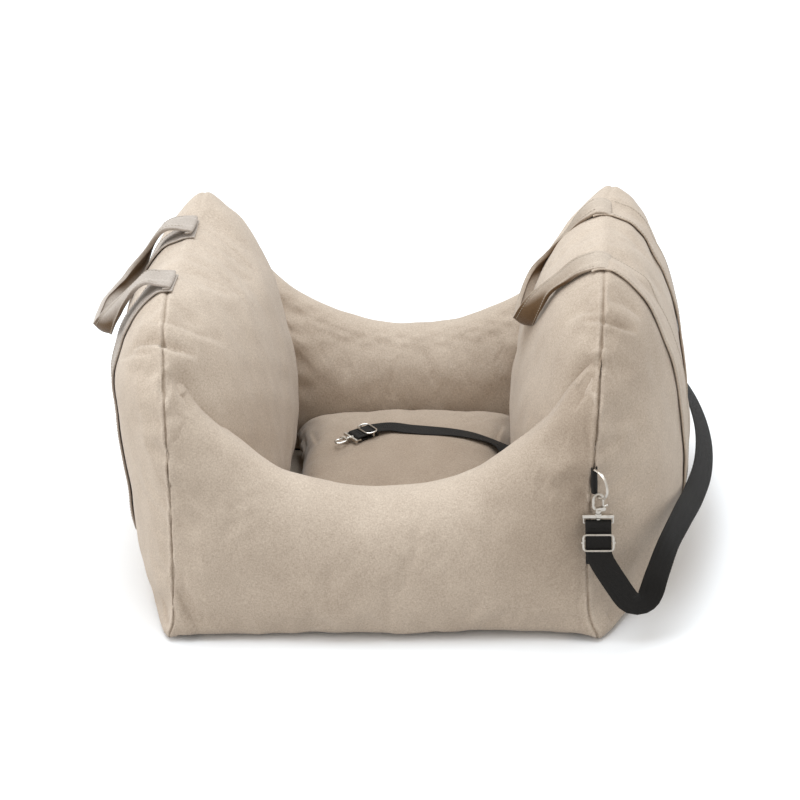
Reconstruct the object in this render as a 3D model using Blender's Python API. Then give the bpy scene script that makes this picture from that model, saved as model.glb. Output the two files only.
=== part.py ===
"""Dog car seat: two tall pillow walls, a low front and back bolster, a lift-out base cushion,
two carry handles, an adjustable tether with a snap hook at each end, and a short leash inside.

Metres, +Z up, +X the right-hand side seen from the front, +Y the back. The origin is the centre
of the underside, on the floor.
"""

import math

import bmesh
import bpy
from mathutils import Matrix, Vector

# The seat's frame of seams
SEAM_WIDTH = 0.430
SEAM_DEPTH = 0.480
WALL_HEIGHT = 0.335
WALL_CORNER_RADIUS = 0.155
WALL_OUTER_THICKNESS = 0.085
WALL_INNER_THICKNESS = 0.100
BOLSTER_DIP_HEIGHT = 0.147
BOLSTER_END_DROP = 0.045
BOLSTER_END_HEIGHT = WALL_HEIGHT - BOLSTER_END_DROP
BOLSTER_HALF_THICKNESS = 0.048
BOLSTER_FACE_THICKNESS = 0.010
BOLSTER_TUCK = 0.0006

# How full the pillows are, as powers and shares of their sizes
WALL_END_POWERS = (2.6, 0.75)
WALL_TOP_POWERS = (3.5, 0.65)
WALL_FOOT_SHARE = 0.62
WALL_WIDEST_SHARE = 0.45
BOLSTER_DIP_POWER = 2.4
BOLSTER_ROUND_POWERS = (3.2, 0.5)
BOLSTER_FOOT_SHARE = 0.82
BOLSTER_END_POWER = 6

# Cloth, board and the gaps between touching pieces
COVER_THICKNESS = 0.0018
CLEARANCE = 0.0006
SEAT_GAP = 0.0003
UNDERSIDE_THICKNESS = 0.0015
UNDERSIDE_MARGIN = 0.0010
BOARD_THICKNESS = 0.0030
WELL_CLOTH_THICKNESS = 0.0012
BOARD_MARGIN = 0.0040
BOARD_CORNER = 0.0200
BOLSTER_TO_WALL = 0.0008

# Base cushion
CUSHION_CROWN = 0.055
CUSHION_SOLE = 0.024
CUSHION_CLEARANCE = 0.0022
CUSHION_DRAW_IN = 0.0060
CUSHION_CORNER_SHARE = 0.035
CUSHION_CORNER_POWER = 6
CUSHION_DRAW_POWER = 4
CUSHION_SIDE_POWER = 7
CUSHION_END_POWER = 3.4
CUSHION_SOLE_POWER = 8

# Carry handles of doubled cloth
HANDLE_WIDTH = 0.042
HANDLE_GRIP_WIDTH = 0.032
HANDLE_THICKNESS = 0.0026
HANDLE_SPREAD = 0.152
HANDLE_FORWARD = 0.018
HANDLE_LEG_LOW = 0.058
HANDLE_LEG_GAP = 0.0008
HANDLE_AXIS_RISE = 0.0048
LEFT_AXIS_INSET = 0.0016
RIGHT_AXIS_INSET = -0.0016

# Webbing and its metal fittings, for the tether; the leash's are smaller by one share
WEBBING_WIDTH = 0.025
WEBBING_THICKNESS = 0.0015
LEASH_SHARE = 0.80
RUNNING_GAP = 0.0003
RING_WIRE = 0.0013
RING_HEIGHT = 0.0270
RING_STRAIGHT = 0.0080
RING_HANG = 0.0060
RING_TURN = math.radians(55)
EYE_WIRE = 0.0012
EYE_WIDTH = 0.0280
EYE_HEIGHT = 0.0070
EYE_BAR_HEIGHT = 0.0036
EYE_BAR_DEPTH = 0.0044
BOSS_RADIUS = 0.0036
BOSS_HEIGHT = 0.0018
STEM_RADIUS = 0.0013
STEM_PLAY = 0.0004
STEM_HEAD_RADIUS = 0.0025
STEM_HEAD_HEIGHT = 0.0011
COLLAR_RADIUS = 0.0030
COLLAR_HEIGHT = 0.0021
HOOK_WIRE = 0.0014
HOOK_HALF_WIDTH = 0.0050
HOOK_HEIGHT = 0.0162
HOOK_NOSE = 0.0031
HOOK_TURN = math.radians(20)
BLOCK_HALF_WIDTH = 0.0026
BLOCK_HEIGHT = 0.0034
CHEEK_THICKNESS = 0.0007
CHEEK_RADIUS = 0.0021
PIVOT_OFFSET = 0.0052
PIN_RADIUS = 0.0007
TRIGGER_EYE_RADIUS = 0.0019
TRIGGER_BAR_RADIUS = 0.0010
TRIGGER_THUMB_REACH = 0.0036
TRIGGER_THUMB_RADIUS = 0.0009
SLIDER_WIRE = 0.0011
SLIDER_WIDTH = 0.0290
SLIDER_HEIGHT = 0.0175
SLIDER_CORNER = 0.0035
SLIDER_DROP = 0.0200
LEASH_SLIDER_CORNER = 0.0070
TAIL_LENGTH = 0.0180

# Where the fittings are: the tabs from the right wall's seams, the leash from the cushion's top
TAB_INSET = 0.0105
TAB_FORWARD = 0.0100
TAB_HEIGHT = 0.1776
TAB_ROOT = 0.0123
LEASH_EYE_PLACE = Vector((-0.0540, 0.0245, 0.0038))
LEASH_AIM = Vector((-0.78, -0.62, 0.0))
ANCHOR_RISE = 0.0144
ANCHOR_SHARES = (-0.5750, -0.5208)
ANCHOR_THICKNESS = 0.0030

# Places along a soft handle's middle line from the middle of its axis, and the way its flat side looks
LEFT_HANDLE_ROUTE = (
    ((-0.0116, -0.0940, 0.0022), (-0.10, 0.00, 1.00)),
    ((-0.0266, -0.0910, -0.0028), (-0.55, 0.00, 0.83)),
    ((-0.0496, -0.0790, -0.0368), (-0.72, 0.00, 0.70)),
    ((-0.0696, -0.0640, -0.0658), (-0.78, 0.00, 0.62)),
    ((-0.0836, -0.0450, -0.0858), (-0.80, 0.00, 0.60)),
    ((-0.0901, -0.0200, -0.0948), (-0.80, 0.00, 0.60)),
    ((-0.0856, 0.0060, -0.0878), (-0.80, 0.00, 0.60)),
    ((-0.0706, 0.0290, -0.0628), (-0.78, 0.00, 0.62)),
    ((-0.0496, 0.0460, -0.0288), (-0.72, 0.00, 0.70)),
    ((-0.0266, 0.0550, 0.0002), (-0.55, 0.00, 0.83)),
    ((-0.0116, 0.0580, 0.0024), (-0.10, 0.00, 1.00)),
)
RIGHT_HANDLE_ROUTE = (
    ((-0.0156, -0.0940, -0.0013), (-0.10, 0.00, 1.00)),
    ((-0.0296, -0.0930, -0.0058), (-0.45, 0.00, 0.90)),
    ((-0.0546, -0.0860, -0.0318), (-0.72, 0.00, 0.70)),
    ((-0.0746, -0.0700, -0.0608), (-0.80, 0.00, 0.60)),
    ((-0.0866, -0.0460, -0.0828), (-0.84, 0.00, 0.54)),
    ((-0.0906, -0.0180, -0.0908), (-0.85, 0.00, 0.52)),
    ((-0.0866, 0.0100, -0.0828), (-0.84, 0.00, 0.54)),
    ((-0.0756, 0.0340, -0.0628), (-0.80, 0.00, 0.60)),
    ((-0.0556, 0.0500, -0.0338), (-0.72, 0.00, 0.70)),
    ((-0.0306, 0.0570, -0.0058), (-0.45, 0.00, 0.90)),
    ((-0.0166, 0.0580, -0.0013), (-0.10, 0.00, 1.00)),
)

# Places along the tether, from the front slider round the right wall to the back, and its facing: out
# from the seam, along and up, as shares of the wall's outer thickness, half depth and tab height
TETHER_SHARES = (
    ((-0.0800, -1.0721, 0.5856), (0.00, -1.00, 0.00)),
    ((-0.0471, -1.0733, 0.5349), (0.00, -1.00, 0.00)),
    ((0.0176, -1.0750, 0.4758), (0.00, -1.00, 0.00)),
    ((0.1176, -1.0750, 0.3913), (0.00, -1.00, 0.00)),
    ((0.2212, -1.0729, 0.3069), (0.00, -1.00, 0.00)),
    ((0.2882, -1.0688, 0.2703), (0.00, -1.00, 0.00)),
    ((0.3706, -1.0625, 0.2590), (0.00, -1.00, 0.00)),
    ((0.4529, -1.0521, 0.2731), (0.05, -1.00, 0.00)),
    ((0.5118, -1.0375, 0.3125), (0.10, -1.00, 0.05)),
    ((0.5765, -1.0042, 0.3941), (0.20, -0.95, 0.10)),
    ((0.7176, -0.8958, 0.5124), (0.45, -0.75, 0.35)),
    ((0.8824, -0.7167, 0.5462), (0.62, -0.35, 0.60)),
    ((1.0471, -0.4792, 0.5236), (0.66, -0.10, 0.70)),
    ((1.1765, -0.2083, 0.5011), (0.68, 0.00, 0.70)),
    ((1.2118, 0.0833, 0.5011), (0.68, 0.00, 0.70)),
    ((1.1294, 0.3750, 0.5180), (0.68, 0.05, 0.70)),
    ((0.9529, 0.6458, 0.5405), (0.66, 0.25, 0.62)),
    ((0.6941, 0.8750, 0.5546), (0.50, 0.65, 0.45)),
    ((0.3882, 1.0167, 0.5602), (0.25, 0.95, 0.15)),
    ((0.1529, 1.0667, 0.5631), (0.05, 1.00, 0.00)),
    ((0.0000, 1.0742, 0.5856), (0.00, 1.00, 0.00)),
    ((-0.0706, 1.0725, 0.6306), (0.00, 1.00, 0.00)),
)

# Places along the leash, from its anchor over the cushion to the slider, above the cushion's top
LEASH_ROUTE = (
    ((0.1275, -0.1030, 0.0144), (-0.96, 0.26, 0.00)),
    ((0.1215, -0.0750, 0.0134), (-0.97, 0.15, 0.15)),
    ((0.1150, -0.0470, 0.0114), (-0.82, 0.00, 0.55)),
    ((0.1070, -0.0210, 0.0079), (-0.55, 0.00, 0.83)),
    ((0.0980, 0.0010, 0.0049), (-0.25, 0.00, 0.95)),
    ((0.0850, 0.0200, 0.0034), (0.00, 0.00, 1.00)),
    ((0.0620, 0.0360, 0.0026), (0.00, 0.00, 1.00)),
    ((0.0300, 0.0460, 0.0026), (0.00, 0.00, 1.00)),
    ((0.0020, 0.0500, 0.0028), (0.00, 0.00, 1.00)),
    ((-0.0180, 0.0487, 0.0036), (0.00, 0.00, 1.00)),
)

# Facets
WALL_COLUMNS = 14
WALL_ROWS = 8
BOLSTER_COLUMNS = 14
BOLSTER_ROWS = 6
CUSHION_COLUMNS = 12
SPAN_STEPS = 3
ROUND_SIDES = 14
ARC_STEPS = 6
OUTLINE_STEPS = 16

# Directions in the XZ plane, in half turns from +X
RIGHTWARDS = 0.0
UPWARDS = 0.5
LEFTWARDS = 1.0
DOWNWARDS = 1.5

SHARP_ANGLE = math.radians(40)
MERGE_DISTANCE = 0.000001
OVERRUN = 0.010
UP = Vector((0, 0, 1))


def clear_scene():
    for item in list(bpy.data.objects):
        bpy.data.objects.remove(item, do_unlink=True)


def material(name, colour, roughness, metallic=0.0):
    made = bpy.data.materials.new(name)
    made.use_nodes = True
    shader = made.node_tree.nodes["Principled BSDF"]
    shader.inputs["Base Color"].default_value = (*colour, 1.0)
    shader.inputs["Roughness"].default_value = roughness
    shader.inputs["Metallic"].default_value = metallic
    made.diffuse_color = (*colour, 1.0)
    return made


# Mesh helpers


def skin(bm, rows):
    """Adds the triangles between neighbouring rows of points, cut from each corner inwards."""
    made = [[bm.verts.new(point) for point in row] for row in rows]
    for j, (near, far) in enumerate(zip(made, made[1:])):
        for i, (a, b, c, d) in enumerate(zip(near, near[1:], far[1:], far)):
            same_half = (i * 2 < len(near) - 1) == (j * 2 < len(made) - 1)
            corners = (a, b, c, d) if same_half else (b, c, d, a)
            bm.faces.new(corners[:3])
            bm.faces.new((corners[0], *corners[2:]))


def finish(name, bm, look, smooth=True):
    """Closes a mesh whose skins meet point to point, turns its faces out and makes the object."""
    bmesh.ops.remove_doubles(bm, verts=bm.verts, dist=MERGE_DISTANCE)
    bmesh.ops.recalc_face_normals(bm, faces=bm.faces)
    if bm.calc_volume(signed=True) < 0:
        bmesh.ops.reverse_faces(bm, faces=bm.faces)
    mesh = bpy.data.meshes.new(name)
    bm.to_mesh(mesh)
    bm.free()
    if smooth:
        mesh.shade_smooth()
        mesh.set_sharp_from_angle(angle=SHARP_ANGLE)
    mesh.materials.append(look)
    made = bpy.data.objects.new(name, mesh)
    bpy.context.collection.objects.link(made)
    return made


def baked(item):
    """Applies an object's modifiers, or turns its curve into a mesh."""
    graph = bpy.context.evaluated_depsgraph_get()
    mesh = bpy.data.meshes.new_from_object(item.evaluated_get(graph))
    name, look, place = item.name, item.active_material, item.matrix_world.copy()
    bpy.data.objects.remove(item, do_unlink=True)
    made = bpy.data.objects.new(name, mesh)
    bpy.context.collection.objects.link(made)
    made.name = name
    made.matrix_world = place
    if look and not mesh.materials:
        mesh.materials.append(look)
    return made


def combined(item, others, operation):
    """Cuts the others from an object, or fuses them with it."""
    for other in others:
        step = item.modifiers.new(operation, "BOOLEAN")
        step.operation = operation
        step.object = other
    made = baked(item)
    for other in others:
        bpy.data.objects.remove(other, do_unlink=True)
    return made


def move_origin(item, point):
    """Puts an object's origin on its joint's axis without moving its mesh."""
    shift = item.matrix_world.inverted() @ Vector(point)
    item.data.transform(Matrix.Translation(-shift))
    item.matrix_world = item.matrix_world @ Matrix.Translation(shift)


def eased(points, step):
    """A smooth curve through a route's places and facings, cut into steps of about one length."""
    ends = [points[0]] + list(points) + [points[-1]]
    found = []
    for before, start, stop, after in zip(ends, ends[1:], ends[2:], ends[3:]):
        count = max(1, round((stop[0] - start[0]).length / step))
        for i in range(count):
            t = i / count
            found.append(
                tuple(
                    (
                        b * 2
                        + (c - a) * t
                        + (a * 2 - b * 5 + c * 4 - d) * t**2
                        + (b * 3 - a - c * 3 + d) * t**3
                    )
                    / 2
                    for a, b, c, d in zip(before, start, stop, after)
                )
            )
    found.append(points[-1])
    return found


def as_vectors(route, origin):
    """A route's places, measured from an origin, and facings."""
    return [(origin + Vector(place), Vector(facing)) for place, facing in route]


def ribbon(name, line, width, thickness, look, middle_width=None):
    """A flat strap along a line of places and facings."""
    bm = bmesh.new()
    rows = []
    for i, (place, facing) in enumerate(line):
        ahead = line[min(i + 1, len(line) - 1)][0] - line[max(i - 1, 0)][0]
        across = ahead.cross(facing).normalized()
        out = across.cross(ahead).normalized()
        share = math.sin(math.pi * i / (len(line) - 1)) ** 2
        wide = width + ((middle_width or width) - width) * share
        side, face = across * wide / 2, out * thickness / 2
        rows.append(
            [place + side + face, place - side + face, place - side - face, place + side - face]
        )
        rows[-1].append(rows[-1][0])
    skin(bm, rows)
    for end in (rows[0], rows[-1]):
        bm.faces.new([bm.verts.new(point) for point in end[:4]])
    return finish(name, bm, look, smooth=False)


def wire(name, points, radius, look, cyclic=False):
    """A round wire along points, as a closed ring or with flat ends."""
    curve = bpy.data.curves.new(name, "CURVE")
    curve.dimensions = "3D"
    curve.bevel_depth = radius
    curve.bevel_resolution = 1
    curve.use_fill_caps = True
    spline = curve.splines.new("POLY")
    spline.points.add(len(points) - 1)
    for spot, point in zip(spline.points, points):
        spot.co = (*point, 1)
    spline.use_cyclic_u = cyclic
    made = bpy.data.objects.new(name, curve)
    bpy.context.collection.objects.link(made)
    made.data.materials.append(look)
    return baked(made)


def arc(centre, radius, start, stop, steps=ARC_STEPS):
    """Points on an arc in the XZ plane; angles in turns of a half circle from +X."""
    angles = [math.pi * (start + (stop - start) * i / steps) for i in range(steps + 1)]
    return [centre + Vector((math.cos(a), 0, math.sin(a))) * radius for a in angles]


def rod(name, start, stop, radius, look, sides=ROUND_SIDES):
    """A straight round bar between two points."""
    bm = bmesh.new()
    along = stop - start
    turn = UP.rotation_difference(along.normalized()).to_matrix().to_4x4()
    place = Matrix.Translation((start + stop) / 2) @ turn
    bmesh.ops.create_cone(
        bm,
        cap_ends=True,
        segments=sides,
        radius1=radius,
        radius2=radius,
        depth=along.length,
        matrix=place,
    )
    return finish(name, bm, look)


def block(name, low, high, look, bevel=0.0):
    """A box between two corners, its edges eased."""
    bm = bmesh.new()
    size = high - low
    place = Matrix.Translation((low + high) / 2) @ Matrix.Diagonal((*size, 1))
    bmesh.ops.create_cube(bm, size=1, matrix=place)
    if bevel:
        bmesh.ops.bevel(bm, geom=bm.edges, offset=bevel, segments=1, affect="EDGES")
    return finish(name, bm, look)


# The pillow walls

WALL_FOOT = UNDERSIDE_THICKNESS + SEAT_GAP


def wall_swell(along, up):
    """How full a wall is at a share of its depth and of its height there, as a share of its bulge."""
    end_power, end_ease = WALL_END_POWERS
    top_power, top_ease = WALL_TOP_POWERS
    ends = max(0, 1 - abs(along) ** end_power) ** end_ease
    top = max(0, 1 - up**top_power) ** top_ease
    low = max(0, 1 - up / WALL_WIDEST_SHARE)
    return ends * top * (1 - (1 - WALL_FOOT_SHARE) * low**2)


def wall_outline(y, inset):
    """The height of a wall's arched seam at a distance from its middle."""
    radius = WALL_CORNER_RADIUS - inset
    past = max(0, abs(y) - (SEAM_DEPTH / 2 - WALL_CORNER_RADIUS))
    return WALL_HEIGHT - inset - radius + math.sqrt(max(0, radius**2 - past**2))


def wall_point(seam_x, side, along, up, inset, outer_side):
    """A point on a wall's skin; a negative inset lies outside the cover."""
    y = along * (SEAM_DEPTH / 2 - inset)
    z = WALL_FOOT + up * (wall_outline(y, inset) - WALL_FOOT)
    bulge = (WALL_OUTER_THICKNESS if side == outer_side else WALL_INNER_THICKNESS) - inset
    return Vector((seam_x + side * bulge * wall_swell(along, up), y, z))


def spread(count, low=-1.0):
    """Shares from low to 1, closer together towards 1 and, where low is -1, towards both ends."""
    return [math.sin(math.pi / 2 * (low + (1 - low) * i / count)) for i in range(count + 1)]


def wall_skin(bm, seam_x, inset, outer_side, skirt=0.0):
    """Both panels of a wall; returns the outline of its open foot."""
    feet = []
    for side in (-1, 1):
        rows = [
            [wall_point(seam_x, side, along, up, inset, outer_side) for along in spread(WALL_COLUMNS)]
            for up in spread(WALL_ROWS, 0.0)
        ]
        if skirt:
            rows.insert(0, [point - UP * skirt for point in rows[0]])
        skin(bm, rows)
        feet.append(rows[0])
    return feet


def wall_solid(name, seam_x, inset, outer_side, look, skirt=0.0):
    bm = bmesh.new()
    feet = wall_skin(bm, seam_x, inset, outer_side, skirt)
    skin(bm, feet)
    return finish(name, bm, look)


def wall_cover(name, seam_x, outer_side, look):
    bm = bmesh.new()
    outer = wall_skin(bm, seam_x, 0.0, outer_side)
    inner = wall_skin(bm, seam_x, COVER_THICKNESS, outer_side)
    for near, far in zip(outer, inner):
        skin(bm, [near, far])
    return finish(name, bm, look)


def wall_reach(along):
    """How far a wall's inner side reaches from its seam at a share of its depth, at its fullest."""
    return WALL_INNER_THICKNESS * max(wall_swell(along, up) for up in spread(WALL_ROWS, 0.0))


def crossing(line, axis, value):
    """The point on a line of points where one coordinate comes to a value."""
    for near, far in zip(line, line[1:]):
        if near[axis] <= value <= far[axis]:
            return near.lerp(far, (value - near[axis]) / (far[axis] - near[axis]))
    return line[-1]


def wall_stripe(seam_x, side, y, inset, outer_side, low):
    """A line up a wall's faceted skin at one place along it, from a low height to the ridge."""
    rows = [
        [wall_point(seam_x, side, along, up, inset, outer_side) for along in spread(WALL_COLUMNS)]
        for up in spread(WALL_ROWS, 0.0)
    ]
    stripe = [crossing(row, 1, y) for row in rows]
    start = crossing(stripe, 2, low)
    return [start] + [point for point in stripe if point.z > start.z + SEAT_GAP]


# The bolsters


def bolster_height(share):
    """The height of a bolster's crest at a share of its half length."""
    rise = BOLSTER_END_HEIGHT - BOLSTER_DIP_HEIGHT
    return BOLSTER_DIP_HEIGHT + rise * abs(share) ** BOLSTER_DIP_POWER


def seam_place(z):
    """How far from the middle the wall's front or back seam is at a height, on its facets."""
    ridge = [wall_point(0, 0, along, 1, 0, 1) for along in spread(WALL_COLUMNS)]
    return crossing(ridge[: WALL_COLUMNS // 2 + 1], 2, z).y * -1 if z > ridge[0].z else SEAM_DEPTH / 2


def bolster_point(share, up, outer, facing, inset):
    """A point on a bolster's skin, at a share of its half length and of its height there."""
    top = bolster_height(share) - inset
    z = WALL_FOOT + up * (top - WALL_FOOT)
    end = abs(share) ** BOLSTER_END_POWER
    crest = SEAM_DEPTH / 2 - BOLSTER_HALF_THICKNESS
    end_crest = seam_place(BOLSTER_END_HEIGHT) - BOLSTER_TUCK
    round_power, round_ease = BOLSTER_ROUND_POWERS
    full = max(0, 1 - up**round_power) ** round_ease
    if outer:
        bulge = BOLSTER_HALF_THICKNESS + BOLSTER_FACE_THICKNESS * (1 - share**2) - inset
        middle_y = crest + bulge * full
        seam_y = seam_place(WALL_FOOT + up * (BOLSTER_END_HEIGHT - WALL_FOOT))
        y = middle_y + (seam_y - BOLSTER_TUCK - inset * full - middle_y) * end
    else:
        low = 1 - (1 - BOLSTER_FOOT_SHARE) * max(0, 1 - up / WALL_WIDEST_SHARE) ** 2
        y = crest + (end_crest - crest) * end - (BOLSTER_HALF_THICKNESS - inset) * full * low
    return Vector((share * SEAM_WIDTH / 2, y * facing, z))


def bolster_solid(name, facing, inset, look, skirt=0.0):
    bm = bmesh.new()
    shares = spread(BOLSTER_COLUMNS)
    sides = []
    for outer in (True, False):
        rows = [
            [bolster_point(share, up, outer, facing, inset) for share in shares]
            for up in spread(BOLSTER_ROWS, 0.0)
        ]
        if skirt:
            rows.insert(0, [point - UP * skirt for point in rows[0]])
        skin(bm, rows)
        sides.append(rows)
    skin(bm, [sides[0][0], sides[1][0]])
    for end in (0, -1):
        skin(bm, [[row[end] for row in side] for side in sides])
    return finish(name, bm, look)


def fitted_bolster(name, facing, inset, look, skirt=0.0):
    """A bolster's solid, cut back to lie between the two walls."""
    made = bolster_solid(name, facing, inset, look, skirt)
    cutters = [
        wall_solid(name + "_cut", side * SEAM_WIDTH / 2, -BOLSTER_TO_WALL - inset, side, look, OVERRUN)
        for side in (-1, 1)
    ]
    return combined(made, cutters, "DIFFERENCE")


def bolster(side_name, facing, cloth, fibre):
    cover = fitted_bolster(side_name + "_bolster_cover", facing, 0.0, cloth)
    hollow = fitted_bolster(side_name + "_hollow", facing, COVER_THICKNESS, cloth, OVERRUN)
    combined(cover, [hollow], "DIFFERENCE")
    fitted_bolster(side_name + "_bolster_filling", facing, COVER_THICKNESS + CLEARANCE, fibre)


# Underside, board and well cloth


def flat_sheet(name, outline, low, thickness, look):
    """A flat sheet cut to an outline."""
    bm = bmesh.new()
    face = bm.faces.new([bm.verts.new((x, y, low)) for x, y in outline])
    raised = bmesh.ops.extrude_face_region(bm, geom=[face])["geom"]
    moved = [item for item in raised if isinstance(item, bmesh.types.BMVert)]
    bmesh.ops.translate(bm, verts=moved, vec=UP * thickness)
    bmesh.ops.triangulate(bm, faces=bm.faces)
    return finish(name, bm, look, smooth=False)


def underside_outline():
    """The foot of all four pillows, drawn in a little."""
    steps = [-1 + 2 * i / OUTLINE_STEPS for i in range(OUTLINE_STEPS)]
    front, right, back, left = [], [], [], []
    for share in steps:
        face = -bolster_point(share, 0.0, True, -1, UNDERSIDE_MARGIN).y
        along = share * (SEAM_WIDTH / 2 - UNDERSIDE_MARGIN)
        front.append((along, -face))
        back.append((-along, face))
        side = SEAM_WIDTH / 2 - UNDERSIDE_MARGIN + WALL_OUTER_THICKNESS * wall_swell(share, 0.0)
        deep = share * (SEAM_DEPTH / 2 - UNDERSIDE_MARGIN)
        right.append((side, deep))
        left.append((-side, -deep))
    return front + right + back + left


def board_outline(margin):
    """The well's floor between the pillows, its corners cut."""
    half_width = SEAM_WIDTH / 2 - WALL_INNER_THICKNESS * WALL_FOOT_SHARE - margin
    crest = SEAM_DEPTH / 2 - BOLSTER_HALF_THICKNESS
    half_depth = crest - BOLSTER_HALF_THICKNESS - margin
    corners = []
    for x, y in ((1, 1), (-1, 1), (-1, -1), (1, -1)):
        ends = [
            (x * half_width, y * (half_depth - BOARD_CORNER)),
            (x * (half_width - BOARD_CORNER), y * half_depth),
        ]
        corners += ends if x * y > 0 else ends[::-1]
    return corners


BOARD_LOW = UNDERSIDE_THICKNESS + SEAT_GAP
WELL_CLOTH_LOW = BOARD_LOW + BOARD_THICKNESS + SEAT_GAP
CUSHION_LOW = WELL_CLOTH_LOW + WELL_CLOTH_THICKNESS + SEAT_GAP
CUSHION_SEAM = CUSHION_LOW + CUSHION_SOLE
CUSHION_TOP = CUSHION_SEAM + CUSHION_CROWN


# The base cushion


def cushion_point(across, along, height, powers, inset):
    """A point above or below the cushion's seam, at shares of its half sizes."""
    crest = SEAM_DEPTH / 2 - BOLSTER_HALF_THICKNESS
    half_depth = crest - BOLSTER_HALF_THICKNESS - CUSHION_CLEARANCE
    y_share = along * (1 - CUSHION_CORNER_SHARE * abs(across) ** CUSHION_CORNER_POWER)
    draw_in = CUSHION_DRAW_IN * (1 - across**2) * abs(along) ** CUSHION_DRAW_POWER
    y = y_share * (half_depth - inset - draw_in)
    reach = wall_reach(y / (SEAM_DEPTH / 2))
    half_width = SEAM_WIDTH / 2 - reach - CUSHION_CLEARANCE - inset
    x = across * half_width * (1 - CUSHION_CORNER_SHARE * abs(along) ** CUSHION_CORNER_POWER)
    side_power, end_power = powers
    full = (1 - abs(across) ** side_power) * (1 - abs(along) ** end_power)
    return Vector((x, y, CUSHION_SEAM + height * math.sqrt(max(0, full))))


def cushion_skin(bm, height, powers, inset, shift=0.0):
    shares = spread(CUSHION_COLUMNS)
    rows = [
        [cushion_point(across, along, height, powers, inset) + UP * shift for across in shares]
        for along in shares
    ]
    skin(bm, rows)
    return rows[0] + [row[-1] for row in rows[1:]] + rows[-1][-2::-1] + [r[0] for r in rows[-2::-1]]


def cushion_cover(name, height, powers, look):
    """Half of the cushion's cover, open at the seam."""
    bm = bmesh.new()
    away = math.copysign(SEAT_GAP / 2, height)
    less = math.copysign(COVER_THICKNESS, height)
    outer = cushion_skin(bm, height - away, powers, 0.0, away)
    inner = cushion_skin(bm, height - away - less, powers, COVER_THICKNESS, away)
    skin(bm, [outer, inner])
    return finish(name, bm, look)


def base_cushion(cloth, foam_look):
    crown_powers = (CUSHION_SIDE_POWER, CUSHION_END_POWER)
    sole_powers = (CUSHION_SOLE_POWER, CUSHION_SOLE_POWER)
    inset = COVER_THICKNESS + CLEARANCE
    cushion_cover("base_cushion_top_cover", CUSHION_CROWN, crown_powers, cloth)
    cushion_cover("base_cushion_bottom_cover", -CUSHION_SOLE, sole_powers, cloth)
    bm = bmesh.new()
    cushion_skin(bm, CUSHION_CROWN - inset, crown_powers, inset)
    cushion_skin(bm, inset - CUSHION_SOLE, sole_powers, inset)
    finish("base_cushion_foam", bm, foam_look)


# Carry handles


def handle_leg(name, seam_x, outer_side, middle_y, look):
    """One end of a handle, sewn flat up the wall's outer side to the ridge."""
    bm = bmesh.new()
    edges = (middle_y - HANDLE_WIDTH / 2, middle_y + HANDLE_WIDTH / 2)
    skins = []
    for inset in (-HANDLE_LEG_GAP, -HANDLE_LEG_GAP - HANDLE_THICKNESS):
        folds = [along * (SEAM_DEPTH / 2 - inset) for along in spread(WALL_COLUMNS)]
        places = [edges[0]] + [y for y in folds if edges[0] < y < edges[1]] + [edges[1]]
        skins.append(
            [wall_stripe(seam_x, outer_side, y, inset, outer_side, HANDLE_LEG_LOW) for y in places]
        )
    for stripes in skins:
        skin(bm, stripes)
    inner, outer = skins
    for edge in (0, -1):
        skin(bm, [inner[edge], outer[edge]])
        skin(bm, [[stripe[edge] for stripe in stripes] for stripes in skins])
    return finish(name, bm, look)


def handle(side_name, outer_side, route, inset, look):
    """Two sewn legs and the loop that swings at the ridge."""
    seam_x = outer_side * SEAM_WIDTH / 2
    places = (-HANDLE_SPREAD / 2 - HANDLE_FORWARD, HANDLE_SPREAD / 2 - HANDLE_FORWARD)
    for end, middle_y in zip(("front", "rear"), places):
        handle_leg(f"{side_name}_handle_{end}_leg", seam_x, outer_side, middle_y, look)
    axis = Vector((seam_x - outer_side * inset, 0, WALL_HEIGHT + HANDLE_AXIS_RISE))
    start, stop = [(axis + Vector((0, y, 0)), UP) for y in places]
    line = eased([start] + as_vectors(route, axis) + [stop], HANDLE_GRIP_WIDTH / SPAN_STEPS)
    name = side_name + "_handle_loop"
    loop = ribbon(name, line, HANDLE_WIDTH, HANDLE_THICKNESS, look, HANDLE_GRIP_WIDTH)
    move_origin(loop, axis)


# Webbing fittings. Each is made upright: X across the webbing, Z to the hook's tip, -Y to the front.


def lane(share=1.0):
    """How far the middle of a webbing layer lies from the middle of the bar that it runs round."""
    return EYE_WIRE * share + RUNNING_GAP + WEBBING_THICKNESS / 2


def webbing_eye(name, share, frame, look):
    """The eye that holds the webbing, with the boss that the hook turns in."""
    half, top = EYE_WIDTH * share / 2, EYE_HEIGHT * share
    bar_half, depth = EYE_BAR_HEIGHT * share / 2, EYE_BAR_DEPTH * share / 2
    bar_end = half + EYE_WIRE * share
    corners = [Vector((x, 0, z)) for x, z in ((-half, top), (-half, 0), (half, 0), (half, top))]
    loop = wire(name, corners, EYE_WIRE * share, look)
    low, high = Vector((-bar_end, -depth, top - bar_half)), Vector((bar_end, depth, top + bar_half))
    bar = block(name + "_bar", low, high, look, bar_half / 3)
    boss_top = UP * (top + bar_half + BOSS_HEIGHT * share)
    boss = rod(name + "_boss", UP * top, boss_top, BOSS_RADIUS * share, look)
    bore_radius = STEM_RADIUS * share + STEM_PLAY
    made = combined(loop, [bar, boss], "UNION")
    bore = rod(name + "_bore", Vector((0, 0, top - depth * 2)), boss_top * 2, bore_radius, look)
    made = combined(made, [bore], "DIFFERENCE")
    made.matrix_world = frame
    return made


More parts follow.
